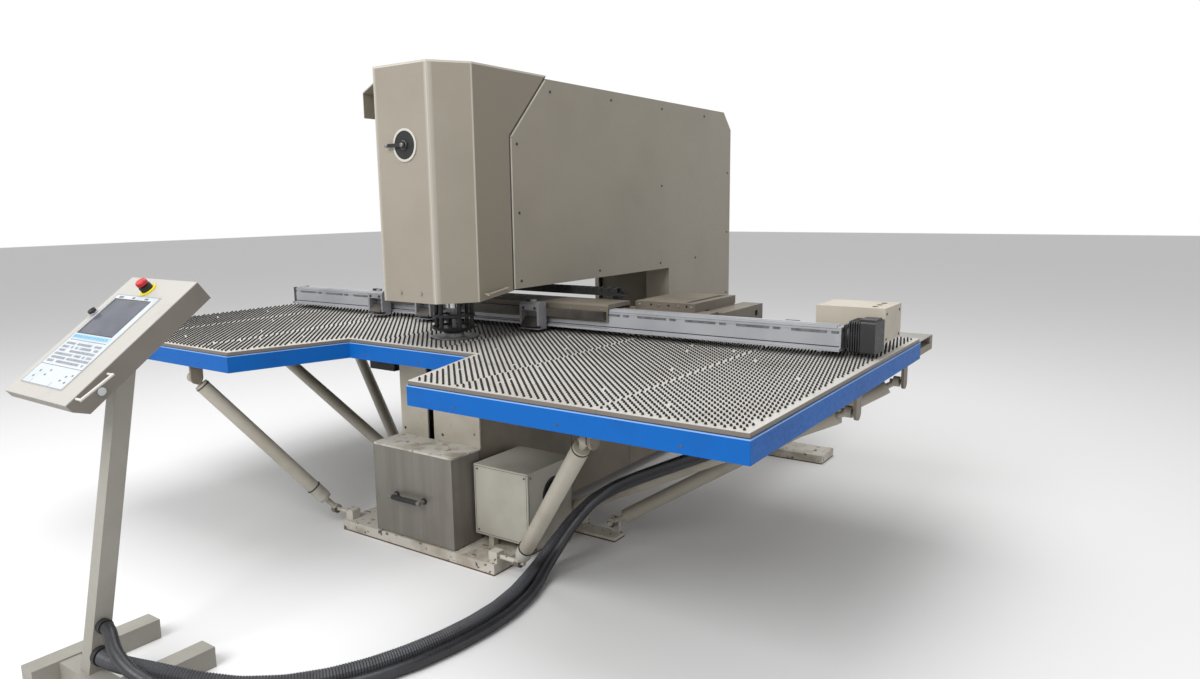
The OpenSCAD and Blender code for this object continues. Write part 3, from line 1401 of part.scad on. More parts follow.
module override_knob() color(dark) on_panel() translate([knob_at.x, knob_at.y, 0]) {
    translate([0, 0, seat]) cylinder(d = 28, h = 16);
    translate([0, 0, -lid_t - 8]) cylinder(d = 9 - 2 * run, h = 12);
    translate([0, 0, -lid_t - 8]) cylinder(d = 16, h = 8 - seat);
    translate([-2, 0, 15]) cube([4, 13, 3]);
}

module key_lock() color(silver) on_panel() translate([con_x1, 0, 0]) rotate([-con_tilt, 0, 0])
    translate([0, lock_at.x - con_y, lock_at.y - con_z]) rotate([0, 90, 0]) {
        translate([0, 0, seat]) cylinder(d = 26, h = 7);
        translate([0, 0, -14]) cylinder(d = 17 - 2 * run, h = 16);
        translate([-2, -9, 6]) cube([4, 18, 4]);
        translate([0, 0, -14]) linear_extrude(3) polygon([[-7, -7], [7, -7], [7, 18], [-7, 18]]);
    }

module estop_button() color("red") on_panel() translate([estop_at.x, estop_at.y, 0]) {
    translate([0, 0, 22 + 7]) {
        cylinder(d = 40, h = 10);
        translate([0, 0, 10]) cylinder(d1 = 40, d2 = 34, h = 4);
    }
    translate([0, 0, -lid_t - 20]) cylinder(d = 16, h = 53);
}

// What is drawn

base_plates();
c_frame();
ram_cylinder();
valve_block();
rotation_motors();
timing_belts();
arm_panel_right();
arm_panel_left();
arm_top_cover();
throat_cover();
lower_front_cover();
drawer_lid();
slug_chute();
cooler_box();
fan_guard();
table_rails();
table_frames();
table_boards();
brush_rows();
rear_plates();
front_struts();
side_struts();
y_guides();
y_motor();
switch_box();
cable_glands();
conduit_main();
conduit_second();
saddle_frame();
saddle_plates();
x_beam();
x_motor();
x_drive_box();
energy_chain();
x_screw();
y_screw();
carriage_cover();
clamp_bar();
clamp_bodies();
clamp_jaw_1();
clamp_jaw_2();
clamp_jaw_3();
tool_holder();
ram_piston();
punch();
die_holder();
die();
upper_pinion();
lower_pinion();
hood_shell();
dial_lever();
slug_drawer();
fan_rotor();
console_stand();
console_case();
console_panel();
console_controls();
override_knob();
key_lock();
estop_button();
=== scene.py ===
"""Looks of a CNC punching machine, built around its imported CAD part. Metres, +Z up."""

import math
import random

import bpy
from mathutils import Matrix, Vector


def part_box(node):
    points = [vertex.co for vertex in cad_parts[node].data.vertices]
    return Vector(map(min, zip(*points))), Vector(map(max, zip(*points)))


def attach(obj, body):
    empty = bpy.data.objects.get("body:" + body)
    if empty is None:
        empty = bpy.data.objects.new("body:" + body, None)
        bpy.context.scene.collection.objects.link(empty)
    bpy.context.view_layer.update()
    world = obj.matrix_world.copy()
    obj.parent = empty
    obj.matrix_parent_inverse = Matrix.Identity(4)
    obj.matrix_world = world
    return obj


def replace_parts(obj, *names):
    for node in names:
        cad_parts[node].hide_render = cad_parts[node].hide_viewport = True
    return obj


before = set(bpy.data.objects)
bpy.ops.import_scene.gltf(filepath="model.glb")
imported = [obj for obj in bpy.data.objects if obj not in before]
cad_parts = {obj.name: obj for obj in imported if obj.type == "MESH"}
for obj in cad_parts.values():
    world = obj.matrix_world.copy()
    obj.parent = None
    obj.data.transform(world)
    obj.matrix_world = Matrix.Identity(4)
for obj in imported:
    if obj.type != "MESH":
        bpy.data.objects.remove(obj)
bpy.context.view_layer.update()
link = bpy.context.scene.collection.objects.link
MM = 0.001


# Camera, at the photo's angle

EYE = (2.822, -2.894, 1.600)
YAW, PITCH, ROLL = (math.radians(a) for a in (34.29, 9.233, -0.69))
FOCAL_MM = 24.99
SENSOR_MM = 36

camera = bpy.data.objects.new("camera", bpy.data.cameras.new("camera"))
camera.data.lens = FOCAL_MM
camera.data.sensor_width = SENSOR_MM
turn = Matrix.Rotation(YAW, 4, "Z") @ Matrix.Rotation(math.pi / 2 - PITCH, 4, "X")
camera.matrix_world = Matrix.Translation(EYE) @ turn @ Matrix.Rotation(ROLL, 4, "Z")
link(camera)
bpy.context.scene.camera = camera


# Colours that come back, in 8-bit sRGB

TAUPE = (150, 143, 130)
TAUPE_WORN = (139, 132, 119)
CREAM = (172, 166, 153)
CREAM_WORN = (150, 142, 127)
# A painted highlight, for the bends and folded edges that catch the light
BEND_HIGHLIGHT = (172, 167, 156)


# Materials

PAINT_GRAIN = (450, 0.25)
PLASTIC_GRAIN = (500, 0.1)
PRINT_GRAIN = (300, 0.05)
GRAIN_RANGE = {"low": 0.3, "high": 0.7}
POLISH_COARSER = 6
EVEN = (1, 1, 1)
FAR = 3000


def srgb(red, green, blue):
    """The linear light of an 8-bit colour."""
    def linear(level):
        c = level / 255
        return c / 12.92 if c <= 0.04045 else ((c + 0.055) / 1.055) ** 2.4
    return linear(red), linear(green), linear(blue)


def shader_of(made):
    return made.node_tree.nodes["Principled BSDF"]


def material(name, light, roughness, metallic=0.0):
    made = bpy.data.materials.new(name)
    made.use_nodes = True
    shader = shader_of(made)
    shader.inputs["Base Color"].default_value = (*light, 1)
    shader.inputs["Roughness"].default_value = roughness
    shader.inputs["Metallic"].default_value = metallic
    return made


def add(made, kind, **inputs):
    node = made.node_tree.nodes.new(kind)
    for key, value in inputs.items():
        node.inputs[key].default_value = value
    return node


def join(made, source, target):
    made.node_tree.links.new(source, target)


def noise(made, scale, detail=5, stretch=EVEN, low=0.4, high=0.6):
    """A 0 to 1 pattern in the object's own space."""
    place = add(made, "ShaderNodeTexCoord")
    mapping = add(made, "ShaderNodeMapping", Scale=stretch)
    pattern = add(made, "ShaderNodeTexNoise", Scale=scale, Detail=detail)
    ramp = add(made, "ShaderNodeMapRange")
    ramp.inputs["From Min"].default_value = low
    ramp.inputs["From Max"].default_value = high
    join(made, place.outputs["Object"], mapping.inputs["Vector"])
    join(made, mapping.outputs["Vector"], pattern.inputs["Vector"])
    join(made, pattern.outputs["Fac"], ramp.inputs["Value"])
    return ramp.outputs["Result"]


def math_node(made, operation, first, second):
    node = add(made, "ShaderNodeMath")
    node.operation = operation
    for socket, value in zip(node.inputs, (first, second)):
        if isinstance(value, (int, float)):
            socket.default_value = value
        else:
            join(made, value, socket)
    return node.outputs[0]


def in_box(made, low, high):
    """1 inside a box of the object's own space, in metres, else 0."""
    place = add(made, "ShaderNodeTexCoord")
    middle = [(a + b) / 2 for a, b in zip(low, high)]
    half = [(b - a) / 2 for a, b in zip(low, high)]
    source = place.outputs["Object"]
    for operation, value in (("SUBTRACT", middle), ("DIVIDE", half), ("ABSOLUTE", None)):
        node = add(made, "ShaderNodeVectorMath")
        node.operation = operation
        if value:
            node.inputs[1].default_value = value
        join(made, source, node.inputs[0])
        source = node.outputs[0]
    parts = add(made, "ShaderNodeSeparateXYZ")
    join(made, source, parts.inputs[0])
    widest = math_node(made, "MAXIMUM", parts.outputs[0], parts.outputs[1])
    widest = math_node(made, "MAXIMUM", widest, parts.outputs[2])
    return math_node(made, "LESS_THAN", widest, 1.0)


def tint(made, mask, color):
    """Lays a colour over what the material already shows, where the mask is 1."""
    base = shader_of(made).inputs["Base Color"]
    mix = add(made, "ShaderNodeMix")
    mix.data_type = "RGBA"
    first, second = mix.inputs[6], mix.inputs[7]
    if base.links:
        join(made, base.links[0].from_socket, first)
    else:
        first.default_value = base.default_value
    second.default_value = (*srgb(*color), 1)
    join(made, mask, mix.inputs[0])
    join(made, mix.outputs[2], base)


def patches(made, scale, low, high, color):
    """Chips or stains: the smaller the share of the noise over low, the fewer there are."""
    tint(made, noise(made, scale, low=low, high=high), color)


def edge_line(made, low, high, color):
    """A light or dark zone, such as a strip along a bend, given as a box in millimetres."""
    tint(made, in_box(made, [v * MM for v in low], [v * MM for v in high]), color)


def height_band(made, low, high, color):
    """A zone between two heights in millimetres, all round the part."""
    edge_line(made, (-FAR, -FAR, low), (FAR, FAR, high), color)


def grain(made, scale, depth, stretch, spread):
    """A fine surface: a bump of a depth in millimetres, and a roughness that varies in coarser spots."""
    shader = shader_of(made)
    height = noise(made, scale, detail=3, stretch=stretch, **GRAIN_RANGE)
    bump = add(made, "ShaderNodeBump", Distance=depth * MM)
    join(made, height, bump.inputs["Height"])
    join(made, bump.outputs["Normal"], shader.inputs["Normal"])
    middle = shader.inputs["Roughness"].default_value
    ramp = add(made, "ShaderNodeMapRange")
    ramp.inputs["To Min"].default_value = middle - spread
    ramp.inputs["To Max"].default_value = middle + spread
    join(made, noise(made, scale / POLISH_COARSER, stretch=stretch, **GRAIN_RANGE), ramp.inputs["Value"])
    join(made, ramp.outputs["Result"], shader.inputs["Roughness"])


def worn(name, color, other, scale, roughness, metallic=0.0, fine=PAINT_GRAIN, stretch=EVEN,
         spread=0.08, low=0.45, high=0.75):
    """Drifts from one colour to another in patches of a noise scale; fine is the grain's scale
    and depth, and the shares of the noise under low and over high show one colour each."""
    made = material(name, srgb(*color), roughness, metallic)
    tint(made, noise(made, scale, stretch=stretch, low=low, high=high), other)
    grain(made, *fine, stretch, spread)
    return made


# Paints of the covers, the frame and the tables

def taupe_paint(name):
    return worn(name, TAUPE, TAUPE_WORN, 1.6, 0.5, low=0.42)


taupe = taupe_paint("taupe_paint")
dark_taupe = worn("dark_taupe_paint", (112, 104, 92), (94, 87, 77), 4.0, 0.45, low=0.42, high=0.7)
cream = worn("cream_paint", CREAM, CREAM_WORN, 4.0, 0.5)
patches(cream, 45.0, 0.70, 0.73, (96, 84, 66))
column = worn("frame_paint", (132, 124, 110), (112, 104, 91), 3.0, 0.55, low=0.4, high=0.7)
plates = worn("rear_plate_steel", (150, 148, 142), (120, 116, 108), 4.0, 0.4, 0.4, low=0.4, high=0.7)
console_paint = worn("console_paint", (176, 173, 168), (164, 161, 155), 5.0, 0.48, low=0.5, high=0.8)
cooler_paint = worn("cooler_paint", (180, 177, 166), (160, 156, 144), 4.0, 0.46)
post_paint = worn("post_paint", (152, 149, 140), (136, 132, 123), 3.0, 0.5)
motor_paint = worn("drive_box_paint", (186, 178, 164), (170, 161, 146), 4.0, 0.5)
lid_paint = worn("lid_paint", (196, 192, 183), (150, 142, 130), 9.0, 0.5, low=0.5, high=0.66)
patches(lid_paint, 24.0, 0.62, 0.66, (136, 127, 112))

# The rails' blue: chips, a painted highlight along the top edge and little gloss
RAIL_GLOSS = 0.12
blue = worn("rail_paint", (14, 94, 174), (20, 86, 160), 5.0, 0.4, low=0.5, high=0.8)
shader_of(blue).inputs["Specular IOR Level"].default_value = RAIL_GLOSS
patches(blue, 50.0, 0.725, 0.745, (50, 56, 66))
# A painted highlight along the rails' top edge
height_band(blue, 953.5, 958, (130, 172, 232))

# The base plate is chipped, and rusty at the floor
base_paint = worn("base_paint", (192, 187, 177), (160, 151, 137), 7.0, 0.6, low=0.48, high=0.62)
patches(base_paint, 34.0, 0.62, 0.65, (84, 74, 62))
height_band(base_paint, -1, 7, (84, 62, 44))

# The struts' feet are dark
strut_paint = worn("strut_paint", CREAM, CREAM_WORN, 4.0, 0.48)
height_band(strut_paint, -5, 84, (104, 97, 88))

# The console's case has a handle of bare metal
case_paint = worn("case_paint", (122, 117, 108), (110, 105, 96), 4.0, 0.46)
edge_line(case_paint, (141, -1900, 900), (190, -1300, 1500), (206, 204, 198))

# The table boards: laminate on top, a bare edge under it, and painted shade on the underside and the edge's
# lowest strip, in the gap above the rail
board = worn("laminate", (190, 187, 181), (172, 167, 158), 3.0, 0.4, low=0.5)
patches(board, 30.0, 0.68, 0.72, (146, 138, 126))
TABLE_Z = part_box("table_boards")[1].z / MM
height_band(board, 0, TABLE_Z - 1.5, (112, 104, 96))
# Painted shade in the gap between board and rail
height_band(board, 0, TABLE_Z - 15, (40, 40, 42))

# The hood: painted highlights on its four bends, then painted shade on the right side, a bare handle, a
# painted highlight along the top edge and a light rim round the dial
hood_paint = taupe_paint("hood_paint")
FRONT_BEND_X = 165
SIDE_BEND_X = 276
# Painted highlights along the bends: three widening strips at each front bend, a thin one at each side bend
for side in (-1, 1):
    x = side * FRONT_BEND_X
    for half, color in ((16, (158, 152, 141)), (10, (168, 162, 151)), (5, (182, 176, 165))):
        edge_line(hood_paint, (x - half, -281, 1100), (x + half, -260, 2300), color)
    x = side * SIDE_BEND_X
    edge_line(hood_paint, (x - 3, -124, 1100), (x + 3, -114, 2300), BEND_HIGHLIGHT)
# Painted shade over the hood's right side
edge_line(hood_paint, (276.5, -116, 1090), (277.6, 460, 2207), (132, 124, 110))
edge_line(hood_paint, (277.6, -150, 1060), (340, 130, 1200), (196, 190, 176))
# A painted highlight along the hood's top edge
edge_line(hood_paint, (-300, -300, 2204), (300, 460, 2211), (196, 191, 180))
edge_line(hood_paint, (-60, -288, 1790), (100, -281, 1940), (196, 193, 185))

# The arm's side panels have a painted highlight along their front edge
arm_paint = taupe_paint("arm_paint")
edge_line(arm_paint, (-290, 123, 1200), (290, 130, 1900), BEND_HIGHLIGHT)
# The paint of the painted highlight strip along the arm's folded edge
edge_highlight_paint = worn("edge_highlight_paint", (204, 197, 181), (178, 170, 154), 8.0, 0.45, low=0.5, high=0.8)


# Metals

steel = worn("steel", (150, 150, 150), (92, 90, 88), 6.0, 0.4, 0.55, low=0.4)
dark_steel = worn("dark_steel", (84, 80, 75), (50, 47, 44), 7.0, 0.45, 0.3, low=0.4, high=0.7)
clamp_silver = worn("clamp_silver", (150, 151, 155), (128, 128, 130), 5.0, 0.4, 0.3, low=0.4, high=0.7)
chrome = worn("chrome", (205, 206, 208), (186, 188, 192), 20.0, 0.18, 1.0, fine=(600, 0.05),
              low=0.5, high=0.8)
rust = worn("rusty_steel", (70, 54, 42), (44, 38, 34), 30.0, 0.6, 0.2, low=0.4, high=0.6)
pale_sleeve = worn("pale_sleeve", (186, 183, 174), (160, 155, 144), 8.0, 0.45, high=0.7)
brushed = worn("brushed_steel", (128, 124, 117), (112, 107, 100), 26.0, 0.42, 0.25,
               stretch=(1, 1, 0.06), low=0.3)
patches(brushed, 3.0, 0.55, 0.85, (108, 98, 86))
ruler_grey = worn("ruler_grey", (112, 112, 116), (90, 90, 94), 40.0, 0.4, low=0.4, high=0.6)

# The beam is aluminium with a dark left end
silver = worn("aluminium", (176, 178, 182), (156, 158, 163), 2.5, 0.36, 0.35, low=0.42, high=0.7)
edge_line(silver, (-1770, -FAR, 0), (-1745, FAR, 2000), (84, 84, 88))


# Plastics, hoses, bristle and black paint

black = worn("black_paint", (30, 30, 32), (42, 42, 44), 9.0, 0.45, fine=(500, 0.3), low=0.5, high=0.8)
rubber = worn("black_plastic", (24, 24, 25), (36, 36, 37), 14.0, 0.6, fine=(400, 0.3), low=0.5, high=0.8)
bristle = worn("bristle", (17, 17, 18), (34, 33, 32), 40.0, 0.7, fine=(900, 0.4), low=0.5, high=0.8)
red = worn("red_plastic", (188, 30, 34), (166, 24, 28), 30.0, 0.35, fine=PLASTIC_GRAIN, low=0.5, high=0.8)
yellow = worn("yellow_plastic", (222, 208, 44), (202, 186, 40), 30.0, 0.5, fine=PLASTIC_GRAIN,
              low=0.5, high=0.8)
main_hose = worn("conduit", (66, 67, 72), (52, 52, 56), 12.0, 0.5, low=0.4, high=0.7)
second_hose = worn("second_hose", (46, 47, 51), (36, 36, 39), 12.0, 0.34, low=0.4, high=0.7)


# The console's printed skin

skin_white = worn("membrane_white", (190, 195, 200), (170, 184, 194), 12.0, 0.42, fine=PRINT_GRAIN,
                  low=0.5, high=0.8)
glass = worn("screen_glass", (62, 66, 78), (84, 88, 100), 8.0, 0.22, fine=(200, 0.02), spread=0.05,
             low=0.35)
key_grey = worn("key_print", (104, 110, 118), (88, 94, 104), 30.0, 0.45, fine=PRINT_GRAIN, low=0.4, high=0.7)
key_blue = worn("key_blue", (84, 146, 190), (72, 130, 176), 30.0, 0.45, fine=PRINT_GRAIN, low=0.4, high=0.7)
band_blue = worn("band_blue", (150, 188, 204), (140, 180, 198), 30.0, 0.45, fine=PRINT_GRAIN,
                 low=0.4, high=0.7)


# Looks of the CAD nodes that stay

LOOKS = {
    taupe: "arm_top_cover",
    arm_paint: "arm_panel_right arm_panel_left",
    hood_paint: "hood_shell",
    dark_taupe: "saddle_frame saddle_plates carriage_cover",
    motor_paint: "x_drive_box",
    clamp_silver: "clamp_bodies",
    cream: "throat_cover lower_front_cover",
    strut_paint: "side_struts front_struts",
    cooler_paint: "cooler_box",
    column: "c_frame table_frames y_guides",
    blue: "table_rails",
    board: "table_boards",
    black: "valve_block rotation_motors x_motor y_motor fan_guard tool_holder",
    rubber: "timing_belts switch_box cable_glands energy_chain dial_lever fan_rotor console_controls "
            "override_knob",
    steel: "ram_cylinder slug_chute x_screw y_screw punch die_holder die upper_pinion lower_pinion",
    dark_steel: "clamp_bar clamp_jaw_1 clamp_jaw_2 clamp_jaw_3",
    silver: "x_beam",
    plates: "rear_plates",
    chrome: "ram_piston key_lock",
    brushed: "slug_drawer",
    lid_paint: "drawer_lid",
    base_paint: "base_plates",
    post_paint: "console_stand",
    case_paint: "console_case",
    console_paint: "console_panel",
    red: "estop_button",
}
for look, names in LOOKS.items():
    for node_name in names.split():
        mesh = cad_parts[node_name].data
        mesh.materials.clear()
        mesh.materials.append(look)


# Shapes in millimetres: points and faces gathered from simple forms

RING_SIDES = 32


def circle(middle, radius, across, other, sides):
    angles = [2 * math.pi * k / sides for k in range(sides)]
    return [middle + radius * (math.cos(a) * across + math.sin(a) * other) for a in angles]


def walls(rows, sides, closed):
    """Faces between rows of points: closed joins the last row to the first, else two caps end it."""
    faces = [(i * sides + k, i * sides + (k + 1) % sides, (i + 1) % rows * sides + (k + 1) % sides,
              (i + 1) % rows * sides + k) for i in range(rows if closed else rows - 1) for k in range(sides)]
    if not closed:
        last = (rows - 1) * sides
        faces.append(tuple(range(sides - 1, -1, -1)))
        faces.append(tuple(range(last, last + sides)))
    return faces


class Shape:
    def __init__(self):
        self.points = []
        self.faces = []

    def take(self, points, faces):
        first = len(self.points)
        self.points += [tuple(p) for p in points]
        self.faces += [tuple(first + i for i in face) for face in faces]
        return self

    def box(self, low, high):
        corners = [(x, y, z) for z in (low[2], high[2]) for y in (low[1], high[1]) for x in (low[0], high[0])]
        sides = [(0, 2, 3, 1), (4, 5, 7, 6), (0, 1, 5, 4), (2, 6, 7, 3), (0, 4, 6, 2), (1, 3, 7, 5)]
        return self.take(corners, sides)

    def outline(self, low, high, width):
        """Four bars of a width, just inside the sides of a box seen from above."""
        (x0, y0, z0), (x1, y1, z1) = low, high
        for a, b in (((x0, y0), (x1, y0 + width)), ((x0, y1 - width), (x1, y1)),
                     ((x0, y0), (x0 + width, y1)), ((x1 - width, y0), (x1, y1))):
            self.box((*a, z0), (*b, z1))
        return self

    def round_rows(self, start, along, profile, sides, closed):
        axis = Vector(along).normalized()
        across = axis.orthogonal().normalized()
        other = axis.cross(across)
        points = []
        for distance, radius in profile:
            points += circle(Vector(start) + distance * axis, radius, across, other, sides)
        return self.take(points, walls(len(profile), sides, closed))

    def turned(self, start, along, profile, sides):
        """A round solid: profile is a list of (distance along, radius)."""
        return self.round_rows(start, along, profile, sides, closed=False)

    def ring(self, start, along, inner, outer, height):
        """A flat ring with a square section."""
        profile = ((0, inner), (0, outer), (height, outer), (height, inner))
        return self.round_rows(start, along, profile, RING_SIDES, closed=True)


def piece(name, shape, look, body, smooth=False, place=None):
    """Makes a shape into an object that rides on a body; place moves a shape of its own plane there."""
    mesh = bpy.data.meshes.new(name)
    mesh.from_pydata(shape.points, [], shape.faces)
    mesh.transform(Matrix.Scale(MM, 4))
    mesh.materials.append(look)
    if place:
        mesh.transform(place)
    mesh.update()
    if smooth:
        mesh.shade_smooth()
    made = bpy.data.objects.new(name, mesh)
    link(made)
    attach(made, body)
    return made


# Free conduits: the routes of the CAD part, in millimetres, drawn as corrugated hose

ROUTE_MAIN = [
    (1640, -35, 872), (1640, -35, 800), (1620, 0, 725), (1560, 52, 672), (1460, 100, 642),
    (1350, 118, 594), (1230, 120, 535), (1100, 120, 471), (980, 120, 412), (860, 108, 350),
    (760, 60, 280), (692, -20, 190), (656, -110, 102), (652, -205, 46), (676, -310, 32),
    (716, -440, 32), (742, -590, 32), (744, -740, 32), (728, -880, 32), (696, -1020, 32),
    (650, -1150, 32), (586, -1270, 32), (500, -1380, 34), (400, -1480, 46), (300, -1565, 74),
    (200, -1634, 106), (112, -1677, 118), (50, -1698, 122), (-10, -1702, 124), (-18, -1702, 124)]
ROUTE_SECOND = [
    (1540, -35, 872), (1540, -35, 800), (1515, -10, 735), (1440, 30, 672), (1350, 58, 606),
    (1230, 62, 547), (1100, 62, 483), (980, 60, 424), (870, 46, 358), (788, -4, 280),
    (740, -80, 190), (716, -158, 106), (714, -245, 46), (742, -330, 24), (780, -440, 24),
    (806, -580, 24), (812, -730, 24), (798, -880, 24), (768, -1030, 24), (718, -1170, 24),
    (650, -1300, 24), (564, -1420, 24), (464, -1530, 28), (366, -1618, 56), (270, -1682, 100),
    (180, -1716, 146), (100, -1716, 184), (44, -1698, 209), (0, -1683, 222), (-18, -1683, 222)]
RIB_PITCH = 10
RIB_DEPTH = 2.8
HOSE_SIDES = 16
SOFTENING_ROUNDS = 40


def along_route(route, step):
    """Evenly spaced points on the route's straight runs, with its corners softened."""
    corners = [Vector(p) for p in route]
    points = []
    for a, b in zip(corners, corners[1:]):
        count = max(2, round((b - a).length / step))
        points += [a.lerp(b, i / count) for i in range(count)]
    points.append(corners[-1])
    for _ in range(SOFTENING_ROUNDS):
        inner = [(a + 2 * b + c) / 4 for a, b, c in zip(points, points[1:], points[2:])]
        points = [points[0], *inner, points[-1]]
    return points


def tube(path, radii):
    """A round hose through the path's points, which doesn't twist on its way."""
    across = Vector((0, 1, 0))
    points = []
    for i, middle in enumerate(path):
        along = (path[min(i + 1, len(path) - 1)] - path[max(i - 1, 0)]).normalized()
        across = (across - across.dot(along) * along).normalized()
        points += circle(middle, radii[i], across, along.cross(across), HOSE_SIDES)
    return Shape().take(points, walls(len(path), HOSE_SIDES, closed=False))


def hose(name, route, diameter, look, smooth):
    path = along_route(route, RIB_PITCH / 2)
    radii = [diameter / 2 - (RIB_DEPTH if i % 2 else 0) for i in range(len(path))]
    made = piece(name, tube(path, radii), look, "frame", smooth=smooth)
    return made


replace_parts(hose("corrugated_conduit_main", ROUTE_MAIN, 60, main_hose, False), "conduit_main")
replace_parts(hose("corrugated_conduit_second", ROUTE_SECOND, 45, second_hose, True), "conduit_second")


# Brush tufts: rows that run back to the left at 45 degrees, shifted from board to board

TUFT_X = 30
TUFT_STEP = 20
TUFT_PROFILE = ((0, 4.3), (2, 4.7), (5, 4.2), (8, 1.8))
TUFT_LEAN = 0.08
TUFTS_GONE = 0.004
TUFT_SEED = 7
TABLE_X, TABLE_Y0, TABLE_Y1 = 1917, -840, 1040
NOTCH_Y, NOTCH_X0, NOTCH_X1 = -305, 405, 565
WELL_R = 130
SLOT_X0, SLOT_X1, SLOT_Y0 = 680, 900, 470
TUFT_SPLIT_X = 800
EDGE = 24
SEAMS = (-1400, -800, -200, 200, 800, 1400)
SEAM_SHIFT = 9


def front_edge(x):
    """How far forward the table reaches at x: it steps back at the notch before the head."""
    side = abs(x)
    if side > NOTCH_X1:
        return TABLE_Y0
    if side < NOTCH_X0:
        return NOTCH_Y
    return NOTCH_Y + (TABLE_Y0 - NOTCH_Y) * (side - NOTCH_X0) / (NOTCH_X1 - NOTCH_X0)


def carries_tuft(x, y):
    """Tufts keep clear of the edges, the round well at the tool and the two slots at the back."""
    if y < max(front_edge(x - EDGE), front_edge(x + EDGE)) + EDGE or y > TABLE_Y1 - EDGE:
        return False
    if abs(x) > TABLE_X - EDGE or math.hypot(x, y) < WELL_R:
        return False
    return not (SLOT_X0 < abs(x) < SLOT_X1 and y > SLOT_Y0)


def tufts(name, x0, x1):
    """The tufts between x0 and x1, a little askew and with a few missing."""
    shape = Shape()
    chance = random.Random(TUFT_SEED)
    for j in range(int((TABLE_Y1 - TABLE_Y0) / TUFT_STEP)):
        y = TABLE_Y0 + EDGE + j * TUFT_STEP
        for i in range(int(2 * TABLE_X / TUFT_X) + j):
            x = TABLE_X - i * TUFT_X - j * TUFT_STEP % TUFT_X
            x -= SEAM_SHIFT * sum(x < seam for seam in SEAMS)
            if x0 <= x < x1 and carries_tuft(x, y) and chance.random() > TUFTS_GONE:
                lean = (chance.uniform(-TUFT_LEAN, TUFT_LEAN), chance.uniform(-TUFT_LEAN, TUFT_LEAN), 1)
                shape.turned((x, y, TABLE_Z), lean, TUFT_PROFILE, sides=6)
    made = piece(name, shape, bristle, "frame")
    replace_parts(made, "brush_rows")


tufts("brush_tufts_left", -TABLE_X, -TUFT_SPLIT_X)
tufts("brush_tufts_middle", -TUFT_SPLIT_X, TUFT_SPLIT_X)
tufts("brush_tufts_right", TUFT_SPLIT_X, TABLE_X)


# Screws: button heads on the covers, with a narrower top

HEAD_SHOULDER = 0.6
HEAD_TOP = 0.7

ARM_SIDE_X = 277
ARM_TOP_Z = 2197
FRONT_COVER_Y = -130
COOLER_FRONT_Y = -190
COOLER_SIDE_X = 585
COLUMN_SIDE_X = 245
CARRIAGE_Y = 376
CLAMP_Y = 287
CLAMP_X = (-895, -515, 230)
SADDLE_BOX_Y = 648
DRIVE_BOX_X = 1887
RIGHT, LEFT, FORWARD, UP = (1, 0, 0), (-1, 0, 0), (0, -1, 0), (0, 0, 1)
ARM_SCREWS = [(433, 2140), (971, 2150), (1518, 2150), (2060, 2150), (171, 1880), (177, 1563),
              (180, 1242), (846, 1244), (1500, 1243), (1514, 1703), (1952, 1250), (2410, 1800),
              (2410, 1400), (1640, 960), (2410, 980)]


def screws(name, spots, facing, radius, height, look, body):
    """One piece of equal heads that face one way."""
    shape = Shape()
    profile = ((0, radius), (height * HEAD_SHOULDER, radius), (height, radius * HEAD_TOP))
    for spot in spots:
        shape.turned(spot, facing, profile, sides=12)
    piece(name, shape, look, body)


screws("arm_screws_right", [(ARM_SIDE_X, y, z) for y, z in ARM_SCREWS], RIGHT, 7, 3, black, "frame")
screws("arm_screws_left", [(-ARM_SIDE_X, y, z) for y, z in ARM_SCREWS], LEFT, 7, 3, black, "frame")
screws("top_cover_screws", [(x, y, ARM_TOP_Z) for x in (-235, 235) for y in (520, 1100, 1700, 2250)],
       UP, 7, 3, black, "frame")
screws("rail_screws", [(x, TABLE_Y0, 905) for x in (-1700, -1250, -800, 800, 1250, 1700)] +
       [(x, NOTCH_Y, 905) for x in (-300, 60, 330)], FORWARD, 5, 1.6, dark_steel, "frame")
screws("cover_screws", [(x, FRONT_COVER_Y, z) for x, z in
                        ((-235, 860), (-235, 520), (232, 860), (232, 700), (20, 520))],
       FORWARD, 7, 3, dark_steel, "frame")
screws("cooler_screws", [(x, COOLER_FRONT_Y, z) for x in (290, 565) for z in (125, 415)],
       FORWARD, 5, 2, dark_steel, "frame")
screws("cooler_side_screws", [(COOLER_SIDE_X, y, z) for y in (-170, 118) for z in (125, 415)],
       RIGHT, 5, 2, dark_steel, "frame")
screws("column_bolts", [(COLUMN_SIDE_X, y, z) for y in (330, 560, 640, 1140) for z in (640, 820)],
       RIGHT, 10, 7, steel, "frame")
screws("carriage_screws", [(x, CARRIAGE_Y - 1, z) for x in (-600, -430, -120, 150, 240, 420, 600)
                           for z in (1062, 1100)], FORWARD, 5, 2, steel, "carriage")
screws("clamp_screws", [(x + dx, CLAMP_Y, 1098) for x in CLAMP_X for dx in (-36, 36)],
       FORWARD, 8, 4, black, "carriage")
screws("saddle_screws", [(side * x, SADDLE_BOX_Y, 1102) for side in (-1, 1) for x in (650, 760, 870, 940)],
       FORWARD, 6, 3, steel, "saddle")
screws("drive_box_screws", [(DRIVE_BOX_X, y, z) for y in (570, 760) for z in (1035, 1140)],
       RIGHT, 6, 2.5, dark_steel, "saddle")


# The dial on the hood: a ring and a boss round its pin, and a pin at the lever's end

dial = Shape()
dial.ring((20, -290, 1865), FORWARD, 16, 20, 4)
dial.turned((20, -302, 1865), FORWARD, ((0, 9), (3, 9), (5, 6)), sides=20)
dial.turned((-78, -297, 1865), FORWARD, ((0, 9), (8, 9), (11, 6)), sides=16)
piece("dial_boss", dial, steel, "dial")


# Painted shade: a black strip in the gap between hood and arm; and a painted highlight: a bright strip along
# the folded edge of the arm's side

STRIP_SUNK = 0.4
STRIP_FACES = [(0, 3, 2, 1), (4, 5, 6, 7), (0, 1, 5, 4), (1, 2, 6, 5), (2, 3, 7, 6), (3, 0, 4, 7)]


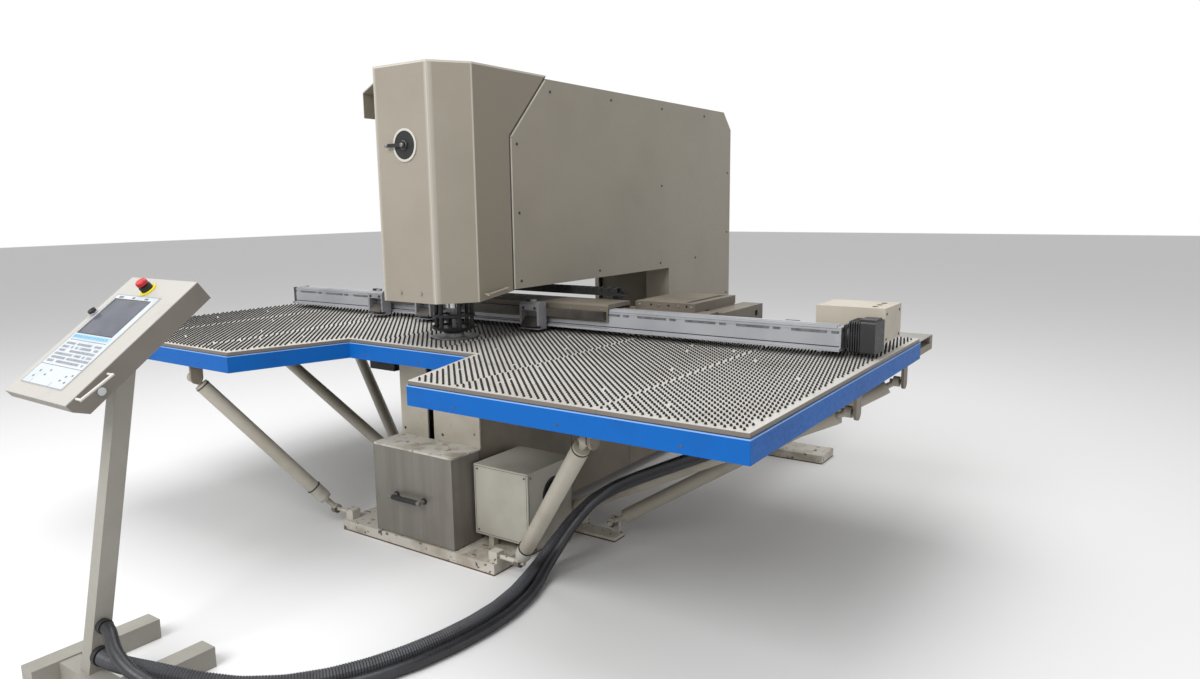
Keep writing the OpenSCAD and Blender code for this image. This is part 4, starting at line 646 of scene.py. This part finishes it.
def strip(shape, side, path, width, height):
    """A flat strip beside a path of [Y, Z] points on the side plane; a minus width is the other side."""
    x0, x1 = sorted((side * (ARM_SIDE_X - STRIP_SUNK), side * (ARM_SIDE_X + height)))
    for (y0, z0), (y1, z1) in zip(path, path[1:]):
        length = math.hypot(y1 - y0, z1 - z0)
        ny, nz = (z1 - z0) / length * width, -(y1 - y0) / length * width
        corners = [(y0, z0), (y1, z1), (y1 + ny, z1 + nz), (y0 + ny, z0 + nz)]
        points = [(x, y, z) for x in (x0, x1) for y, z in corners]
        shape.take(points, STRIP_FACES)


hood_gap_shade = Shape()
arm_edge_highlight = Shape()
for side in (-1, 1):
    strip(hood_gap_shade, side, [(123, 1203), (123, 1913), (397, 2203)], width=-7, height=0.4)
    strip(arm_edge_highlight, side, [(125, 1208), (125, 1911), (391, 2193)], width=9, height=0.5)
piece("hood_rear_gap_shade", hood_gap_shade, black, "hood")
piece("arm_front_edge_highlight", arm_edge_highlight, edge_highlight_paint, "frame")


# Beam: pairs of long and short ruler strips in the upper groove, and two dark groove lines

BEAM_Y = 384
GROOVE_X = 1755
RULER_X0, RULER_X1, RULER_PITCH = -1700, 1600, 250

rulers = Shape()
for start in range(RULER_X0, RULER_X1, RULER_PITCH):
    for x0, x1 in ((start, start + 150), (start + 170, start + 200)):
        rulers.box((x0, BEAM_Y - 1.8, 1073), (x1, BEAM_Y, 1083))
piece("beam_rulers", rulers, ruler_grey, "saddle")
groove = Shape()
for z0, z1 in ((1018, 1022), (1092, 1093)):
    groove.box((-GROOVE_X, BEAM_Y - 1.4, z0), (GROOVE_X, BEAM_Y, z1))
piece("beam_groove", groove, black, "saddle")


# Carriage: two seams in its cover, a pad under each clamp and a block on it

seam = Shape()
for x in (-470, 170):
    seam.box((x, CARRIAGE_Y - 1.8, 1043), (x + 2.5, CARRIAGE_Y, 1120))
piece("carriage_seams", seam, black, "carriage")
pads = Shape()
for x in CLAMP_X:
    pads.box((x - 44, 279, 991.8), (x + 44, 300, 992.4))
    pads.box((x - 30, 300, 1127), (x - 6, 330, 1139))
piece("clamp_blocks", pads, black, "carriage")


# Console: points lie on the panel's own plane, across, up and out of it

PANEL = Matrix.Translation((0, -1.793, 1.025)) @ Matrix.Rotation(math.radians(37), 4, "X")
SKIN = 1.6
SUNK = 0.1
SKIN_LOW, SKIN_HIGH = (-243, 47), (36, 463)
SCREEN_LOW, SCREEN_HIGH = (-232, 273), (2, 442)
KEY_SEED = 3
KEY_ROWS, KEY_ROW_PITCH, KEY_HEIGHT, KEY_GAP = 6, 16, 9, 4.5
KEY_WIDTHS = (8, 10, 14)
KEYS_GONE = 0.12


def printed(shape, low, high, rise, base=-SUNK):
    """A thin flat form on the skin."""
    shape.box((*low, SKIN + base), (*high, SKIN + rise))


def on_panel(name, shape, look, body="console_lid"):
    piece(name, shape, look, body, place=PANEL)


# The skin leaves the screen free
skin = Shape()
for low, high in ((SKIN_LOW, (SKIN_HIGH[0], SCREEN_LOW[1])),
                  ((SKIN_LOW[0], SCREEN_LOW[1]), (SCREEN_LOW[0], SKIN_HIGH[1])),
                  ((SCREEN_HIGH[0], SCREEN_LOW[1]), SKIN_HIGH),
                  ((SCREEN_LOW[0], SCREEN_HIGH[1]), (SCREEN_HIGH[0], SKIN_HIGH[1]))):
    skin.box((*low, SKIN - 0.2), (*high, SKIN))
on_panel("membrane", skin, skin_white)

lines = Shape().outline((*SKIN_LOW, SKIN - SUNK), (*SKIN_HIGH, SKIN + 0.3), 1.4)
printed(lines, (SKIN_LOW[0], 128), (SKIN_HIGH[0], 130), 0.3)
for x in (-190, -60):
    printed(lines, (x, SKIN_LOW[1]), (x + 1.2, 66), 0.3)
on_panel("membrane_lines", lines, key_grey)

# Six rows of outlined keys of uneven width, and loose keys below them
keys = Shape()
chance = random.Random(KEY_SEED)
for row in range(KEY_ROWS):
    y = 140 + row * KEY_ROW_PITCH
    x = -226 + 3 * (row % 2)
    while x < 16:
        width = chance.choice(KEY_WIDTHS)
        if chance.random() > KEYS_GONE:
            keys.outline((x, y, SKIN - SUNK), (x + width, y + KEY_HEIGHT, SKIN + 0.7), 1)
            printed(keys, (x + 3, y + 3.6), (x + width - 4, y + 5.2), 0.7)
        x += width + KEY_GAP
for x, y in ((-210, 72), (-200, 96), (-150, 84), (-140, 104), (-30, 74), (-18, 92), (6, 70), (12, 100)):
    printed(keys, (x, y), (x + 9, y + 7), 0.5)
on_panel("keypad", keys, key_grey)

# The band of function keys under the screen, with bars for labels
functions = Shape()
for k in range(12):
    printed(functions, (-222 + 19 * k, 252), (-214 + 19 * k, 263), 0.9, base=0.2)
on_panel("function_keys", functions, key_blue)
band = Shape()
printed(band, (-236, 248), (12, 267), 0.3)
on_panel("function_band", band, band_blue)
labels = Shape()
for k in range(16):
    printed(labels, (-224 + 15 * k, 240), (-215 + 15 * k, 243), 0.6)
for x0, x1 in ((-216, -188), (-128, -112), (-48, -26)):
    printed(labels, (x0, 448), (x1, 456), 0.5)
on_panel("function_labels", labels, key_grey)

on_panel("screen_window", Shape().box((-229, 276, -2.6), (-1, 439, -0.2)), glass)
on_panel("screen_frame", Shape().outline((-234, 271, 1.5), (4, 444, 2), 3.5), black)

stop_ring = Shape().ring((-90, 497, 3), UP, 21.5, 29, 2.2)
stop_ring.ring((-90, 497, 0.1), UP, 28, 31, 4)
on_panel("estop_ring", stop_ring, yellow)
on_panel("knob_skirt", Shape().ring((-262, 365, 0.4), UP, 13.6, 16.5, 9), chrome, "knob")


# Front struts: a rusty ring at the tube's upper end, a pale sleeve at the lower end and a tie

TUBE_R = 32.6
HEAD_GAP = 60
FOOT_GAP = 90
SLEEVE = 70
PIN_Y, PIN_Z = -286, 76


def strut_trim(name, low, high):
    """low and high are the eyes' centres; the tube ends HEAD_GAP and FOOT_GAP from them."""
    low, high = Vector(low), Vector(high)
    along = (high - low).normalized()
    head = high - (HEAD_GAP + 3) * along
    foot = low + (FOOT_GAP + 1) * along
    tie_at = low + (FOOT_GAP + 1 + SLEEVE) * along
    collar = Shape().ring(head, along, 27, 34.4, 5)
    piece(name + "_ring", collar, rust, "frame")
    sleeve = Shape().ring(foot, along, TUBE_R, 35.2, SLEEVE)
    piece(name + "_sleeve", sleeve, pale_sleeve, "frame")
    tie = Shape().ring(tie_at, along, TUBE_R, 37, 5)
    piece(name + "_tie", tie, rubber, "frame")


strut_trim("front_strut_right", (606, PIN_Y, PIN_Z), (1275, -715, 830))
strut_trim("front_strut_left", (-606, PIN_Y, PIN_Z), (-926, -799, 820))


# Drawer: a black sleeve on its bow handle, and collars at its ends

grip = Shape()
grip.turned((-95, -360, 258), RIGHT, ((0, 10.6), (3, 12), (162, 12), (165, 10.6)), sides=20)
for x in (-103, 78):
    grip.ring((x, -323, 258), FORWARD, 8.3, 15, 5)
piece("drawer_handle_grip", grip, rubber, "drawer")


# Cooler: folded seams on its front and right side

SEAM_Z0, SEAM_Z1 = 112, 430
SEAM_WIDTH = 1.6
FRONT_SEAM_Y = (COOLER_FRONT_Y - 0.8, COOLER_FRONT_Y + 0.4)

seams = Shape()
for z in (SEAM_Z0, SEAM_Z1 - 2):
    seams.box((272, FRONT_SEAM_Y[0], z), (583, FRONT_SEAM_Y[1], z + SEAM_WIDTH))
for x in (576, 276):
    seams.box((x, FRONT_SEAM_Y[0], SEAM_Z0), (x + SEAM_WIDTH, FRONT_SEAM_Y[1], SEAM_Z1))
for y in (-182, 130):
    seams.box((COOLER_SIDE_X - 0.4, y, SEAM_Z0), (COOLER_SIDE_X + 0.6, y + SEAM_WIDTH, SEAM_Z1))
piece("cooler_seams", seams, dark_steel, "frame")


# Column: seam lines on its right side

column_seam = Shape()
for y in (600, 1180):
    column_seam.box((COLUMN_SIDE_X, y, 56), (COLUMN_SIDE_X + 0.8, y + 2, 895))
piece("column_seams", column_seam, black, "frame")


# Light, floor and background

WHITE = (1, 1, 1, 1)
ROOM_LIGHT = 0.62
FLOOR_LIGHT = (0.78, 0.78, 0.78)
FLOOR_REACH = 40


def background():
    """Even light all round, and plain white where the camera, gloss or glass sees past the part."""
    world = bpy.data.worlds.new("studio")
    bpy.context.scene.world = world
    world.use_nodes = True
    light = world.node_tree.nodes["Background"]
    light.inputs["Color"].default_value = WHITE
    light.inputs["Strength"].default_value = ROOM_LIGHT
    white = add(world, "ShaderNodeBackground", Color=WHITE)
    path = add(world, "ShaderNodeLightPath")
    seen = math_node(world, "MAXIMUM", path.outputs["Is Camera Ray"], path.outputs["Is Glossy Ray"])
    seen = math_node(world, "MAXIMUM", seen, path.outputs["Is Transmission Ray"])
    mix = add(world, "ShaderNodeMixShader")
    join(world, seen, mix.inputs[0])
    join(world, light.outputs[0], mix.inputs[1])
    join(world, white.outputs[0], mix.inputs[2])
    join(world, mix.outputs[0], world.node_tree.nodes["World Output"].inputs["Surface"])


def lamp(name, at, target, power, size):
    data = bpy.data.lights.new(name, "AREA")
    data.energy = power
    data.size = size
    made = bpy.data.objects.new(name, data)
    made.location = at
    made.rotation_euler = (Vector(target) - Vector(at)).to_track_quat("-Z", "Y").to_euler()
    link(made)


def floor():
    mesh = bpy.data.meshes.new("floor")
    corners = [(x * FLOOR_REACH, y * FLOOR_REACH, 0) for x, y in ((-1, -1), (1, -1), (1, 1), (-1, 1))]
    mesh.from_pydata(corners, [], [(0, 1, 2, 3)])
    made = bpy.data.objects.new("floor", mesh)
    look = material("floor", FLOOR_LIGHT, 0.9)
    shader_of(look).inputs["Specular IOR Level"].default_value = 0.1
    mesh.materials.append(look)
    link(made)


background()
lamp("key", (0.6, -6.2, 5.6), (0, 0, 1.0), 390, 4.0)
lamp("top", (-1.0, 0.5, 6.5), (0, 0.3, 1.0), 260, 5.0)
floor()

bpy.context.scene.view_settings.view_transform = "Standard"
